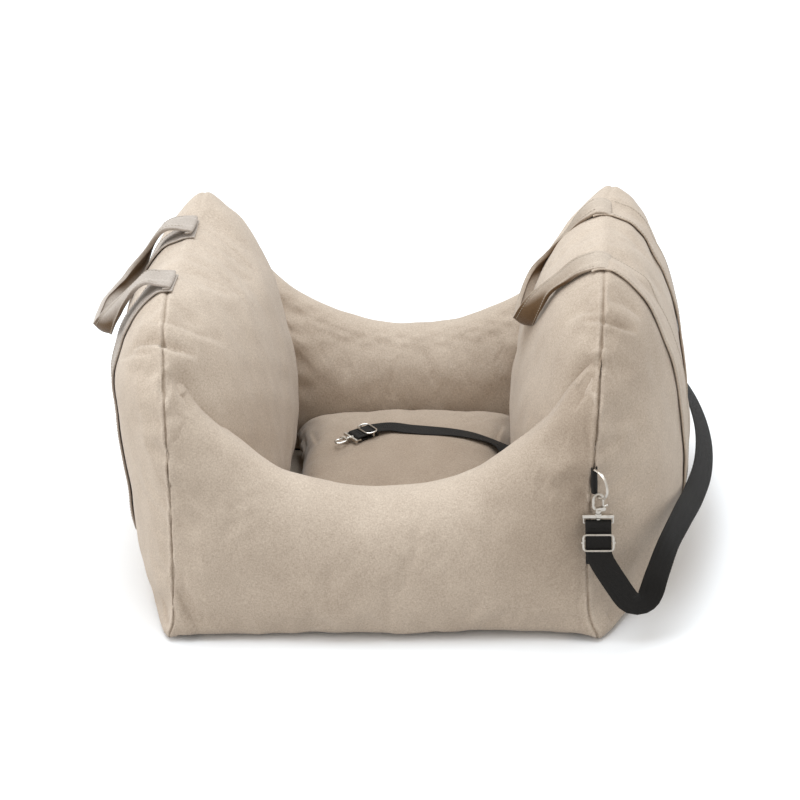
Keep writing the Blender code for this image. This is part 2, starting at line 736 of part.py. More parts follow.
def hook_body(name, share, frame, look):
    """The hook: head and stem in the eye's boss, collar, block, open wire loop and trigger pin."""
    bar_half = EYE_BAR_HEIGHT * share / 2
    bar_low = EYE_HEIGHT * share - bar_half
    head_top = bar_low - RUNNING_GAP
    head_low = head_top - STEM_HEAD_HEIGHT * share
    collar_low = bar_low + bar_half * 2 + BOSS_HEIGHT * share + RUNNING_GAP
    collar_top = collar_low + COLLAR_HEIGHT * share
    block_top = collar_top + BLOCK_HEIGHT * share
    radius = HOOK_WIRE * share
    base = collar_top + radius
    half, tall = HOOK_HALF_WIDTH * share, HOOK_HEIGHT * share
    pivot = Vector((PIVOT_OFFSET * share, 0, block_top - CHEEK_RADIUS * share))
    cheek = CHEEK_THICKNESS * share
    cheek_in = TRIGGER_BAR_RADIUS * share + RUNNING_GAP
    width = cheek_in + cheek
    curl = arc(Vector((0, 0, base + half)), half, DOWNWARDS, LEFTWARDS)
    crown = arc(Vector((0, 0, base + tall - half)), half, LEFTWARDS, RIGHTWARDS, ARC_STEPS * 2)
    nose = crown[-1] - UP * HOOK_NOSE * share
    body = wire(name, curl + crown + [nose], radius, look)
    parts = [
        rod(name + "_head", UP * head_low, UP * head_top, STEM_HEAD_RADIUS * share, look),
        rod(name + "_stem", UP * (head_low + bar_half / 2), UP * base, STEM_RADIUS * share, look),
        rod(name + "_collar", UP * collar_low, UP * (collar_top + cheek), COLLAR_RADIUS * share, look),
        block(
            name + "_block",
            Vector((-BLOCK_HALF_WIDTH * share, -width, collar_top)),
            Vector((BLOCK_HALF_WIDTH * share, width, block_top)),
            look,
            cheek / 2,
        ),
    ]
    for side in (-1, 1):
        inner, outer = pivot + Vector((0, side * cheek_in, 0)), pivot + Vector((0, side * width, 0))
        parts.append(rod(name + "_cheek", inner, outer, CHEEK_RADIUS * share, look))
        ends = sorted((side * cheek_in, side * width))
        reach = CHEEK_RADIUS * share * math.sqrt(3) / 2
        low = Vector((BLOCK_HALF_WIDTH * share / 2, ends[0], pivot.z - reach))
        parts.append(block(name + "_arm", low, Vector((pivot.x, ends[1], pivot.z + reach)), look))
    pin_reach = Vector((0, cheek_in + cheek / 2, 0))
    parts.append(rod(name + "_pin", pivot - pin_reach, pivot + pin_reach, PIN_RADIUS * share, look))
    made = combined(body, parts, "UNION")
    made.matrix_world = frame
    return made, pivot, nose.z


def hook_trigger(name, share, frame, pivot, nose_z, look):
    """The sprung lever that closes the hook, on the pin between the cheeks."""
    half = TRIGGER_BAR_RADIUS * share
    eye_radius = TRIGGER_EYE_RADIUS * share
    side = Vector((0, half, 0))
    eye = rod(name, pivot - side, pivot + side, eye_radius, look)
    tip = Vector((HOOK_HALF_WIDTH * share, 0, nose_z - RUNNING_GAP))
    bar = rod(name + "_bar", pivot + UP * eye_radius / 2, tip, half, look)
    thumb_start = pivot + Vector((eye_radius / 2, 0, eye_radius))
    thumb_end = thumb_start + Vector((TRIGGER_THUMB_REACH * share, 0, eye_radius / 2))
    thumb = rod(name + "_thumb", thumb_start, thumb_end, TRIGGER_THUMB_RADIUS * share, look)
    made = combined(eye, [bar, thumb], "UNION")
    bore = rod(name + "_bore", pivot - side * 2, pivot + side * 2, PIN_RADIUS * share + RUNNING_GAP, look)
    made = combined(made, [bore], "DIFFERENCE")
    made.matrix_world = frame
    return made


def snap_hook(name, share, frame, turn, look):
    """Eye, hook and trigger; the hook stands turned about its stem."""
    webbing_eye(name + "_eye", share, frame, look)
    turned = frame @ Matrix.Rotation(turn, 4, "Z")
    body, pivot, nose_z = hook_body(name + "_body", share, turned, look)
    trigger = hook_trigger(name + "_trigger", share, turned, pivot, nose_z, look)
    move_origin(trigger, turned @ pivot)


def slider(name, share, corner, frame, look):
    """A wire frame in front of the webbing and, behind it, the bar that its sewn end goes round."""
    radius = SLIDER_WIRE * share
    offset = WEBBING_THICKNESS / 2 + RUNNING_GAP + radius
    front, back = -lane(share) - offset, -lane(share) + offset
    half_width, half_height = SLIDER_WIDTH * share / 2, SLIDER_HEIGHT * share / 2
    ring = []
    for start, (x, z) in enumerate(((1, 1), (-1, 1), (-1, -1), (1, -1))):
        middle = Vector((x * (half_width - corner), front, z * (half_height - corner)))
        ring += arc(middle, corner, start / 2, (start + 1) / 2, ARC_STEPS // 2)
    frame_ring = wire(name, ring, radius, look, cyclic=True)
    reach = half_width + radius
    bar_spots = ((-reach, front), (-reach, back), (reach, back), (reach, front))
    bar_line = [Vector((x, y, 0)) for x, y in bar_spots]
    bar = wire(name + "_bar", bar_line, radius, look)
    made = combined(frame_ring, [bar], "UNION")
    made.matrix_world = frame @ Matrix.Translation(UP * -SLIDER_DROP * share)
    return made


def webbing_turn(share, frame, back_drop):
    """The webbing's line from behind, up round the eye's bar and down the front, to the slider."""
    reach = lane(share)
    line = [(Vector((0, reach, -back_drop)), Vector((0, 1, 0)))]
    for i in range(ARC_STEPS + 1):
        angle = math.pi * i / ARC_STEPS
        facing = Vector((0, math.cos(angle), math.sin(angle)))
        line.append((facing * reach, facing))
    line.append((Vector((0, -reach, -(SLIDER_DROP + SLIDER_HEIGHT / 2) * share)), Vector((0, -1, 0))))
    turn = frame.to_3x3()
    return [(frame @ place, turn @ facing) for place, facing in line]


def ring_tab(name, place, facing, look):
    """A short webbing loop from the seam round the D-ring's straight side."""
    reach = RING_WIRE + RUNNING_GAP + WEBBING_THICKNESS / 2
    line = [(place + Vector((reach, -TAB_ROOT * facing, 0)), Vector((1, 0, 0)))]
    for i in range(ARC_STEPS + 1):
        angle = math.pi * i / ARC_STEPS
        out = Vector((math.cos(angle), math.sin(angle) * facing, 0))
        line.append((place + out * reach, out))
    line.append((place + Vector((-reach, -TAB_ROOT * facing, 0)), Vector((-1, 0, 0))))
    width = RING_HEIGHT - RING_WIRE * 2 - RUNNING_GAP * 2
    return ribbon(name, line, min(width, WEBBING_WIDTH), WEBBING_THICKNESS, look)


def d_ring(name, place, turn, look):
    """A D-ring whose straight side stands in its tab."""
    half = RING_HEIGHT / 2
    bend = RING_WIRE
    points = [Vector((0, 0, bend - half)), Vector((bend, 0, -half))]
    points += arc(Vector((RING_STRAIGHT, 0, 0)), half, -UPWARDS, UPWARDS, ARC_STEPS * 2)
    points += [Vector((bend, 0, half)), Vector((0, 0, half - bend))]
    made = wire(name, points, RING_WIRE, look, cyclic=True)
    made.matrix_world = Matrix.Translation(place) @ Matrix.Rotation(turn, 4, "Z")
    return made


def tether_end(name, facing, webbing, metal):
    """Ring tab, D-ring and snap hook at the right wall's front (-1) or back (1) seam."""
    place = Vector((SEAM_WIDTH / 2 - TAB_INSET, (SEAM_DEPTH / 2 + TAB_FORWARD) * facing, TAB_HEIGHT))
    ring_tab(name + "_ring_tab", place, facing, webbing)
    d_ring(name + "_ring", place, RING_TURN * facing, metal)
    hang = place + Vector((math.cos(RING_TURN), math.sin(RING_TURN) * facing, 0)) * RING_HANG
    wire_top = hang.z - RING_HEIGHT / 2
    bar_top = EYE_HEIGHT + EYE_BAR_HEIGHT / 2 + BOSS_HEIGHT + RUNNING_GAP + COLLAR_HEIGHT
    inside = bar_top + HOOK_HEIGHT - RUNNING_GAP - RING_WIRE
    eye_place = Vector((hang.x, hang.y, wire_top - inside))
    half_turn = 0 if facing < 0 else math.pi
    frame = Matrix.Translation(eye_place) @ Matrix.Rotation(half_turn, 4, "Z")
    snap_hook(name + "_hook", 1.0, frame, HOOK_TURN * -facing, metal)
    return frame


def tether(webbing, metal):
    """The adjustable strap round the right wall, from its front hook to its rear hook."""
    front = tether_end("front", -1, webbing, metal)
    rear = tether_end("rear", 1, webbing, metal)
    slider("tether_slider", 1.0, SLIDER_CORNER, front, metal)
    start = webbing_turn(1.0, front, SLIDER_DROP + SLIDER_HEIGHT / 2 + TAIL_LENGTH)
    stop = webbing_turn(1.0, rear, SLIDER_DROP)[::-1]
    seam = Vector((SEAM_WIDTH / 2, 0, 0))
    spans = Matrix.Diagonal((WALL_OUTER_THICKNESS, SEAM_DEPTH / 2, TAB_HEIGHT))
    route = [(seam + spans @ Vector(shares), Vector(facing)) for shares, facing in TETHER_SHARES]
    middle = eased([start[-1]] + route + [stop[0]], WEBBING_WIDTH / 2)
    ribbon("tether_strap", start[:-1] + middle + stop[1:], WEBBING_WIDTH, WEBBING_THICKNESS, webbing)


def leash(webbing, metal):
    """The leash inside, sewn at the front right corner, its hook lying on the cushion."""
    share = LEASH_SHARE
    width = WEBBING_WIDTH * share
    aim = LEASH_AIM.normalized()
    cushion_top = UP * CUSHION_TOP
    turn = Matrix(((-UP).cross(aim), -UP, aim)).transposed()
    frame = Matrix.Translation(cushion_top + LEASH_EYE_PLACE) @ turn.to_4x4()
    snap_hook("leash_hook", share, frame, 0.0, metal)
    slider("leash_slider", share, LEASH_SLIDER_CORNER * share, frame, metal)
    stop = webbing_turn(share, frame, (SLIDER_DROP + SLIDER_HEIGHT / 2) * share)[::-1]
    seam_x = SEAM_WIDTH / 2
    inset = -SEAT_GAP - CLEARANCE - ANCHOR_THICKNESS / 2
    places = [place * SEAM_DEPTH / 2 for place in ANCHOR_SHARES]
    anchor_height = CUSHION_TOP + ANCHOR_RISE
    stripes = [wall_stripe(seam_x, -1, y, inset, 1, anchor_height) for y in places]
    root = [stripe[0] for stripe in stripes]
    along = (root[1] - root[0]).normalized()
    off_wall = (stripes[1][1] - root[1]).cross(along).normalized()
    ribbon("leash_anchor", [(place, off_wall) for place in root], width, ANCHOR_THICKNESS, webbing)
    start = [(root[1] + along * reach, off_wall) for reach in (CLEARANCE, width / 2)]
    route = as_vectors(LEASH_ROUTE, cushion_top)
    line = start[:1] + eased(start[1:] + route + [stop[0]], width / 2)
    ribbon("leash_strap", line + stop[1:], width, WEBBING_THICKNESS, webbing)


def build():
    clear_scene()
    cloth = material("beige_cloth", (0.58, 0.49, 0.40), 0.95)
    handle_cloth = material("taupe_cloth", (0.45, 0.38, 0.31), 0.95)
    fibre = material("polyester_filling", (0.90, 0.90, 0.88), 1.0)
    foam = material("foam", (0.86, 0.82, 0.70), 1.0)
    backing = material("non_slip_cloth", (0.12, 0.11, 0.10), 0.85)
    board = material("board", (0.20, 0.19, 0.18), 0.70)
    webbing = material("black_webbing", (0.02, 0.02, 0.018), 0.80)
    metal = material("nickel", (0.72, 0.69, 0.64), 0.28, 1.0)

    flat_sheet("underside_panel", underside_outline(), 0.0, UNDERSIDE_THICKNESS, backing)
    flat_sheet("base_board", board_outline(BOARD_MARGIN), BOARD_LOW, BOARD_THICKNESS, board)
    outline = board_outline(BOARD_MARGIN)
    flat_sheet("well_floor_cloth", outline, WELL_CLOTH_LOW, WELL_CLOTH_THICKNESS, cloth)
    for name, side in (("left", -1), ("right", 1)):
        seam_x = side * SEAM_WIDTH / 2
        wall_cover(name + "_wall_cover", seam_x, side, cloth)
        wall_solid(name + "_wall_filling", seam_x, COVER_THICKNESS + CLEARANCE, side, fibre)
    bolster("front", -1, cloth, fibre)
    bolster("back", 1, cloth, fibre)
    base_cushion(cloth, foam)
    handle("left", -1, LEFT_HANDLE_ROUTE, LEFT_AXIS_INSET, handle_cloth)
    handle("right", 1, RIGHT_HANDLE_ROUTE, RIGHT_AXIS_INSET, handle_cloth)
    tether(webbing, metal)
    leash(webbing, metal)


build()
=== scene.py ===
"""The dog car seat as it looks: cloth pillows, handles, webbing and metal fittings on the CAD frame."""

import math

import bmesh
import bpy
import numpy as np
from mathutils import Matrix, Vector
from mathutils.bvhtree import BVHTree
from mathutils.kdtree import KDTree


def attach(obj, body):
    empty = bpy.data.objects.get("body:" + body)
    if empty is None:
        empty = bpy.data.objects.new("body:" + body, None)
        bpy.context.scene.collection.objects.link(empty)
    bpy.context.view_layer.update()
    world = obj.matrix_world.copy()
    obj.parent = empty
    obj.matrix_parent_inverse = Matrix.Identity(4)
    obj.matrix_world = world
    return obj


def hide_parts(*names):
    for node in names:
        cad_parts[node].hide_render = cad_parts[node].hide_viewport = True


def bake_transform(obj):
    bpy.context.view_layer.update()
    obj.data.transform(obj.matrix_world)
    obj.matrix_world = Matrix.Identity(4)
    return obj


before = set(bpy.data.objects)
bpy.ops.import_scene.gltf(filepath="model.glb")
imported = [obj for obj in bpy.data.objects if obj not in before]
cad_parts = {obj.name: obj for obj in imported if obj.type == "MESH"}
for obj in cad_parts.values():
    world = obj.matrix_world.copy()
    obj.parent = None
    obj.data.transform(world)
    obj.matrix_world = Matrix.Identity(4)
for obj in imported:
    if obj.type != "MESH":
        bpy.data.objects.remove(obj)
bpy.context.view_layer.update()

# The camera as the photograph was taken; its focal length is in pixels of a picture of this size
CAMERA_PLACE = Vector((0.224, -2.352, 1.292))
CAMERA_YAW = math.radians(5.47)
CAMERA_PITCH = math.radians(25.91)
CAMERA_ROLL = math.radians(2.83)
CAMERA_FOCAL = 2489.0
PHOTO_SIZE = 800
SENSOR = 36.0

# Sizes repeated from the CAD source, in metres
SEAM_X = 0.215
SEAM_Y = 0.240
WALL_HEIGHT = 0.335
WALL_CORNER = 0.155
WALL_FOOT = 0.0018
OUTER_BULGE = 0.085
INNER_BULGE = 0.100
BOLSTER_DIP = 0.147
BOLSTER_END = 0.290
BOLSTER_THICK = 0.048
CUSHION_SEAM = 0.0306
CUSHION_CROWN = 0.055
CUSHION_SOLE = 0.024
HANDLE_WIDTH = 0.042
HANDLE_GRIP_WIDTH = 0.021
HANDLE_ENDS = {-1: (-0.104, 0.044), 1: (-0.087, 0.058)}
HANDLE_LEG_LOW = 0.058
WEBBING_WIDTH = 0.025
WEBBING_THICKNESS = 0.0015
LEASH_SHARE = 0.8
EYE_LANE = 0.00225
SLIDER_DROP = 0.020
SLIDER_HALF = 0.00875
TAIL_LENGTH = 0.018
FRONT_EYE = Vector((0.20794, -0.25491, 0.1365))
REAR_EYE = Vector((0.20794, 0.25491, 0.1365))
LEASH_EYE = Vector((-0.0540, 0.0245, 0.0894))
LEASH_AIM = Vector((-0.78, -0.62, 0.0)).normalized()
TAB_PLACE = Vector((0.2045, 0.2500, 0.1776))
TAB_ROOT = 0.0123
TAB_WIDTH = 0.0238
ANCHOR_THICKNESS = 0.003
RING_WIRE = 0.0013

# Sizes of the cloth shapes, in metres, and how finely they are cut
FOOT_RADIUS = 0.010
BOLSTER_BELLY = 0.010
CUSHION_GAP = 0.0022
SIDE_MARGIN = 0.014
END_MARGIN = 0.020
UNDERSIDE = (0.0, 0.0015)
WELL_FLOOR = (0.0051, 0.0063)
WELL_HALF = 0.155
STITCH_SINK = 0.0001
STITCH_SIDES = 6
WALL_CELLS = (104, 60)
BOLSTER_CELLS = (130, 38)
CUSHION_CELLS = 64
CLOTH_FRAMES = 20
FOLD_CAP = 0.004
SHARP_ANGLE = math.radians(40)

# Unevenness of the pillows: size and height of the lumps, and a shift of their seed
WALL_LUMPS = ((0.085, 0.0011, 0), (0.030, 0.00035, 5))
BOLSTER_LUMPS = ((0.095, 0.0013, 0), (0.030, 0.0003, 5))

# Sideways bows of the left and right front seams: size, height above the floor and spread
SEAM_BOWS = {
    -1: ((0.0080, 0.20, 0.13), (-0.0080, 0, 0.014)),
    1: ((0.0090, 0, 0.018), (-0.0185, 0.07, 0.165)),
}

# Seams: depth and width of the groove in metres, and how much it puckers
WALL_SEAM = (0.0016, 0.0009, 0.35)
CREST_SEAM = (0.0009, 0.0016, 0.9)
CUSHION_DRAW = (0.0016, 0.0016, 0.9)

# Colours of cloth: the dark and the light fibres
BEIGE = ((0.375, 0.290, 0.220), (0.600, 0.490, 0.385))
TAUPE = ((0.330, 0.268, 0.220), (0.520, 0.440, 0.370))
THREAD = ((0.36, 0.30, 0.23), (0.52, 0.45, 0.36))
SHEEN_TINT = (1.0, 0.98, 0.94, 1)

# Lamps: name, place, size in metres, watts and colour
LAMPS = (
    ("overhead", (0.0, 0.20, 2.5), 2.4, 52, (0.92, 1.02, 1.12)),
    ("left", (-2.4, -0.5, 0.62), 1.1, 19, (0.96, 1.0, 1.04)),
)
LAMP_AIM = Vector((0.0, 0.0, 0.1))
ROOM_COLOUR = (1.0, 0.985, 0.96, 1)
ROOM_STRENGTH = 0.82
FLOOR_HALF = 9.0
FLOOR_SEEN = (0.97, 0.97, 0.97)
FLOOR_LIT = (0.70, 0.70, 0.70)

# Routes of straps: places in millimetres, and the way that the strap's face looks there
LEFT_HANDLE_ROUTE = (
    (-225, -104, 333.5, -0.15, 0, 1),
    (-238, -104.5, 334.5, -0.4, -0.05, 0.9),
    (-252, -104.5, 323.5, -0.62, -0.1, 0.77),
    (-266, -104.5, 307.5, -0.66, -0.25, 0.7),
    (-278, -103, 292, -0.5, -0.65, 0.55),
    (-287, -97, 277, -0.3, -0.93, 0.1),
    (-293.5, -82, 266, -0.4, -0.7, -0.6),
    (-296.5, -56, 262, -0.45, -0.15, -0.88),
    (-297, -34, 261.5, -0.45, 0, -0.89),
    (-295.5, -14, 264, -0.45, 0.15, -0.88),
    (-290.5, 5, 266, -0.4, 0.7, -0.6),
    (-282.5, 18, 274, -0.3, 0.95, 0),
    (-272, 28, 290, -0.4, 0.75, 0.52),
    (-260, 35, 310, -0.6, 0.3, 0.74),
    (-246.5, 39, 327.5, -0.6, 0.1, 0.8),
    (-235, 42, 332, -0.35, 0, 0.93),
    (-224, 44, 332, -0.1, 0, 1),
)
RIGHT_HANDLE_ROUTE = (
    (206, -87, 339.5, -0.15, -0.05, 1),
    (189, -87, 333.5, -0.45, -0.1, 0.9),
    (170, -86.5, 319.5, -0.6, -0.15, 0.78),
    (155, -85, 305.5, -0.62, -0.3, 0.7),
    (144.5, -82, 290, -0.5, -0.68, 0.5),
    (137, -76, 274, -0.35, -0.92, 0),
    (133, -62, 261, -0.4, -0.6, -0.7),
    (132.5, -40, 255, -0.45, -0.15, -0.88),
    (133.5, -18, 254.5, -0.45, 0, -0.89),
    (136, 2, 256.5, -0.45, 0.15, -0.88),
    (140, 22, 261.5, -0.4, 0.6, -0.7),
    (146, 36, 271, -0.35, 0.9, -0.15),
    (154.5, 45, 285, -0.45, 0.75, 0.48),
    (166, 50, 301, -0.62, 0.35, 0.7),
    (181, 54, 318, -0.6, 0.1, 0.8),
    (195.5, 56.5, 332.5, -0.35, 0, 0.93),
    (206, 57.5, 339.2, -0.1, 0, 1),
)
TETHER_ROUTE = (
    (208.2, -257.3, 104, 0, -1, 0),
    (211, -257.6, 95, 0, -1, 0),
    (216.5, -258, 84.5, 0, -1, 0),
    (225, -258, 69.5, 0, -1, 0),
    (233.8, -257.5, 54.5, 0, -1, 0),
    (239.5, -256.5, 48, 0, -1, 0),
    (246.5, -255, 46, 0, -1, 0),
    (253.5, -252.5, 48.5, 0.05, -1, 0),
    (258.5, -249, 55.5, 0.1, -1, 0.05),
    (264, -241, 70, 0.2, -0.95, 0.1),
    (276, -215, 91, 0.45, -0.75, 0.35),
    (290, -172, 97, 0.62, -0.35, 0.6),
    (304, -115, 93, 0.66, -0.1, 0.7),
    (315, -50, 89, 0.68, 0, 0.7),
    (318, 20, 89, 0.68, 0, 0.7),
    (311, 90, 92, 0.68, 0.05, 0.7),
    (296, 155, 96, 0.66, 0.25, 0.62),
    (274, 210, 98.5, 0.5, 0.65, 0.45),
    (248, 244, 99.5, 0.25, 0.95, 0.15),
    (228, 256, 100, 0.05, 1, 0),
    (215, 257.8, 104, 0, 1, 0),
    (209, 257.4, 112, 0, 1, 0),
)
LEASH_ROUTE = (
    (127.5, -103, 100, -0.96, 0.26, 0),
    (120.5, -74, 96.5, -0.97, 0.15, 0.15),
    (115.5, -46, 89.5, -0.9, 0, 0.4),
    (112, -20, 81.5, -0.75, 0, 0.65),
    (111, 5, 80.5, 0.05, 0.15, 0.95),
    (96, 23.5, 81.2, 0.28, 0.26, 0.92),
    (71, 34.5, 84.2, 0.14, 0.16, 0.98),
    (49, 40, 85.6, 0.06, 0.1, 1),
    (26, 42.5, 86.2, 0, 0, 1),
    (3, 45.5, 87, 0, 0, 1),
    (-18, 47.5, 89, 0, 0, 1),
)

# Folds as pixels of the camera's picture, with a depth and a width in metres
LEFT_FOLDS = (
    (((131, 348), (144, 343.5), (156, 343), (172, 349.5), (197, 358)), 0.0052, 0.0042),
    (((143, 318), (168, 321.5), (200, 333), (226, 342)), 0.0026, 0.0090),
    (((120, 359), (138, 353.5), (154, 354)), 0.0024, 0.0050),
    (((176, 272), (198, 274), (220, 284), (240, 298), (252, 316)), 0.0014, 0.0030),
    (((194, 238), (213, 244), (237, 258), (257, 279)), 0.0013, 0.0030),
    (((160, 372), (163, 392), (176, 410)), 0.0016, 0.0050),
    (((172, 604), (180, 622), (192, 638)), 0.0030, 0.0045),
    (((158, 590), (165, 612), (171, 630)), 0.0020, 0.0050),
)
RIGHT_FOLDS = (
    (((582, 321.5), (594, 321), (604, 322.5), (620, 327.5), (637, 333.5)), 0.0046, 0.0040),
    (((577, 313), (590, 311), (603, 312)), 0.0022, 0.0050),
    (((606, 300), (622, 304), (640, 316)), 0.0014, 0.0070),
    (((586, 352), (600, 346), (614, 352)), 0.0018, 0.0060),
    (((607, 612), (612, 622), (616, 630)), 0.0026, 0.0045),
)
BOLSTER_FOLDS = (
    (((176, 590), (184, 612), (198, 634)), 0.0036, 0.0048),
    (((598, 596), (590, 616), (574, 636)), 0.0036, 0.0048),
    (((170, 380), (178, 398), (192, 414)), 0.0020, 0.0060),
    (((594, 372), (586, 392), (572, 412)), 0.0018, 0.0060),
)
CUSHION_FOLDS = (
    (((296, 428), (302, 438), (305, 452)), 0.0022, 0.0030),
    (((304, 424), (311, 432), (318, 444)), 0.0016, 0.0034),
    (((292, 440), (300, 448), (312, 454)), 0.0018, 0.0034),
    (((504, 424), (498, 434), (496, 446)), 0.0016, 0.0034),
)


# Camera, floor and light


def camera_axes():
    """The camera's right, down and forward directions."""
    forward = Vector(
        (
            -math.sin(CAMERA_YAW) * math.cos(CAMERA_PITCH),
            math.cos(CAMERA_YAW) * math.cos(CAMERA_PITCH),
            -math.sin(CAMERA_PITCH),
        )
    )
    level = Vector((math.cos(CAMERA_YAW), math.sin(CAMERA_YAW), 0))
    below = forward.cross(level)
    cosine, sine = math.cos(CAMERA_ROLL), math.sin(CAMERA_ROLL)
    return level * cosine + below * sine, below * cosine - level * sine, forward


def placed(name, data):
    """An object in the scene."""
    made = bpy.data.objects.new(name, data)
    bpy.context.collection.objects.link(made)
    return made


def make_camera():
    right, down, forward = camera_axes()
    data = bpy.data.cameras.new("camera")
    data.sensor_width = SENSOR
    data.sensor_fit = "HORIZONTAL"
    data.lens = CAMERA_FOCAL / PHOTO_SIZE * SENSOR
    data.clip_end = 50
    camera = placed("camera", data)
    turn = Matrix((right, -down, -forward)).transposed()
    camera.matrix_world = Matrix.Translation(CAMERA_PLACE) @ turn.to_4x4()
    bpy.context.scene.camera = camera


def sight(pixel):
    """The direction in which the camera sees a pixel."""
    right, down, forward = camera_axes()
    x, y = ((value - PHOTO_SIZE / 2) / CAMERA_FOCAL for value in pixel)
    return (right * x + down * y + forward).normalized()


def area_light(name, place, size, power, colour):
    data = bpy.data.lights.new(name, "AREA")
    data.shape = "DISK"
    data.size = size
    data.energy = power
    data.color = colour
    lamp = placed(name, data)
    lamp.location = place
    lamp.rotation_euler = (LAMP_AIM - Vector(place)).to_track_quat("-Z", "Y").to_euler()


def make_stage():
    """A floor and a room that look white to the camera and light the seat more softly."""
    bm = bmesh.new()
    bmesh.ops.create_grid(bm, x_segments=1, y_segments=1, size=FLOOR_HALF)
    mesh = bpy.data.meshes.new("floor")
    bm.to_mesh(mesh)
    bm.free()
    floor = placed("floor", mesh)
    look = new_look("floor_paper", Roughness=1.0, Specular_IOR_Level=0.0)
    tree = look.node_tree
    seen = add(tree, "ShaderNodeLightPath").outputs["Is Camera Ray"]
    paper = blended(seen, FLOOR_LIT, FLOOR_SEEN)
    tree.links.new(paper, tree.nodes["Principled BSDF"].inputs["Base Color"])
    mesh.materials.append(look)
    world = bpy.data.worlds.new("studio")
    world.use_nodes = True
    tree = world.node_tree
    tree.nodes.clear()
    room = add(tree, "ShaderNodeBackground", {"Color": ROOM_COLOUR, "Strength": ROOM_STRENGTH})
    white = add(tree, "ShaderNodeBackground", {"Color": (1, 1, 1, 1), "Strength": 1.0})
    seen = add(tree, "ShaderNodeLightPath").outputs["Is Camera Ray"]
    mixed = add(tree, "ShaderNodeMixShader", {"Fac": seen, 1: room.outputs[0], 2: white.outputs[0]})
    add(tree, "ShaderNodeOutputWorld", {"Surface": mixed.outputs[0]})
    bpy.context.scene.world = world
    for lamp in LAMPS:
        area_light(*lamp)
    bpy.context.scene.view_settings.view_transform = "Standard"


# Materials


def add(tree, kind, inputs=(), **settings):
    """A node with its settings, its inputs set to values or joined to outputs."""
    node = tree.nodes.new(kind)
    for name, value in settings.items():
        setattr(node, name, value)
    for key, value in dict(inputs).items():
        if isinstance(value, bpy.types.NodeSocket):
            tree.links.new(value, node.inputs[key])
        else:
            node.inputs[key].default_value = value
    return node


def maths(operation, first, second=0.0, clamp=False):
    """A sum in the node tree of its first value."""
    inputs = {0: first, 1: second}
    return add(first.id_data, "ShaderNodeMath", inputs, operation=operation, use_clamp=clamp).outputs[0]


def plus(first, second, clamp=False):
    return maths("ADD", first, second, clamp)


def times(first, second):
    return maths("MULTIPLY", first, second)


def noise(vector, scale, detail=2.0, roughness=0.5):
    inputs = {"Vector": vector, "Scale": scale, "Detail": detail, "Roughness": roughness}
    return add(vector.id_data, "ShaderNodeTexNoise", inputs).outputs["Fac"]


def stretched(vector, scale, detail=2.0, roughness=0.5):
    """Noise with a scale of its own along each axis."""
    longer = add(vector.id_data, "ShaderNodeMapping", {"Vector": vector, "Scale": scale}).outputs[0]
    return noise(longer, 1.0, detail, roughness)


def within(value, low, high):
    """How far a value is from low to high, as a share."""
    return add(value.id_data, "ShaderNodeMapRange", {"Value": value, 1: low, 2: high}).outputs[0]


def spread(value, low, high):
    """A share, spread from low to high."""
    return add(value.id_data, "ShaderNodeMapRange", {"Value": value, 3: low, 4: high}).outputs[0]


def blended(share, dark, light, kind="MIX"):
    """A colour between two colours, which are sockets or red, green and blue."""
    inputs = {0: share, 6: dark, 7: light}
    tree = next(value.id_data for value in inputs.values() if isinstance(value, bpy.types.NodeSocket))
    for index in (6, 7):
        if not isinstance(inputs[index], bpy.types.NodeSocket):
            inputs[index] = (*inputs[index], 1)
    return add(tree, "ShaderNodeMix", inputs, data_type="RGBA", blend_type=kind).outputs[2]


def new_look(name, **sockets):
    look = bpy.data.materials.new(name)
    look.use_nodes = True
    for socket, value in sockets.items():
        look.node_tree.nodes["Principled BSDF"].inputs[socket.replace("_", " ")].default_value = value
    return look


def spot_on(look, kind="Object"):
    """Where each point lies: in the object, or on the flat cloth (UV), both in metres."""
    return add(look.node_tree, "ShaderNodeTexCoord").outputs[kind]


def tone_of(look):
    """The tone that set_tone gave the mesh."""
    return add(look.node_tree, "ShaderNodeAttribute", attribute_name="tone").outputs["Fac"]


def surfaced(look, colour, rough, relief):
    """Joins up a look: its colour, (value, low, high) of roughness and (height, strength, distance)."""
    tree = look.node_tree
    height, strength, distance = relief
    bump = add(tree, "ShaderNodeBump", {"Strength": strength, "Distance": distance, "Height": height})
    ends = {"Base Color": colour, "Roughness": spread(*rough), "Normal": bump.outputs[0]}
    for name, socket in ends.items():
        tree.links.new(socket, tree.nodes["Principled BSDF"].inputs[name])
    return look


def cloth_look(name, dark, light, sheen, span=0.38):
    """Short-pile melange cloth: fine fibres both ways, flecks, soft patches, and a tone from the mesh
    that carries painted light and shade as well as wear.
    """
    look = new_look(
        name,
        Roughness=0.95,
        Sheen_Weight=sheen,
        Sheen_Roughness=0.45,
        Sheen_Tint=SHEEN_TINT,
        Specular_IOR_Level=0.18,
    )
    solid, flat = spot_on(look), spot_on(look, "UV")
    threads = times(plus(stretched(flat, (260, 2300, 1)), stretched(flat, (2300, 260, 1))), 0.5)
    fleck = noise(solid, 620, 3, 0.65)
    grain = times(threads, 0.75)
    for value, weight in ((fleck, 0.85), (noise(solid, 38, 3, 0.55), 0.22), (noise(solid, 7), 0.16)):
        grain = plus(grain, times(value, weight))
    colour = blended(within(grain, 0.74, 1.24), dark, light)
    tone = tone_of(look)
    # Tone above a half makes the cloth paler and less yellow, as painted light; below a half it is
    # darker, as painted shade.
    shades = {}
    for channel, extra in enumerate((0.0, 0.10, 0.20)):
        shades[channel] = spread(tone, 1 - span * (1 + extra), 1 + span * (1 + extra * 2))
    paler = add(look.node_tree, "ShaderNodeCombineColor", shades).outputs[0]
    colour = blended(1.0, colour, paler, "MULTIPLY")
    return surfaced(look, colour, (fleck, 0.82, 1.0), (plus(threads, times(fleck, 0.8)), 0.55, 0.0008))


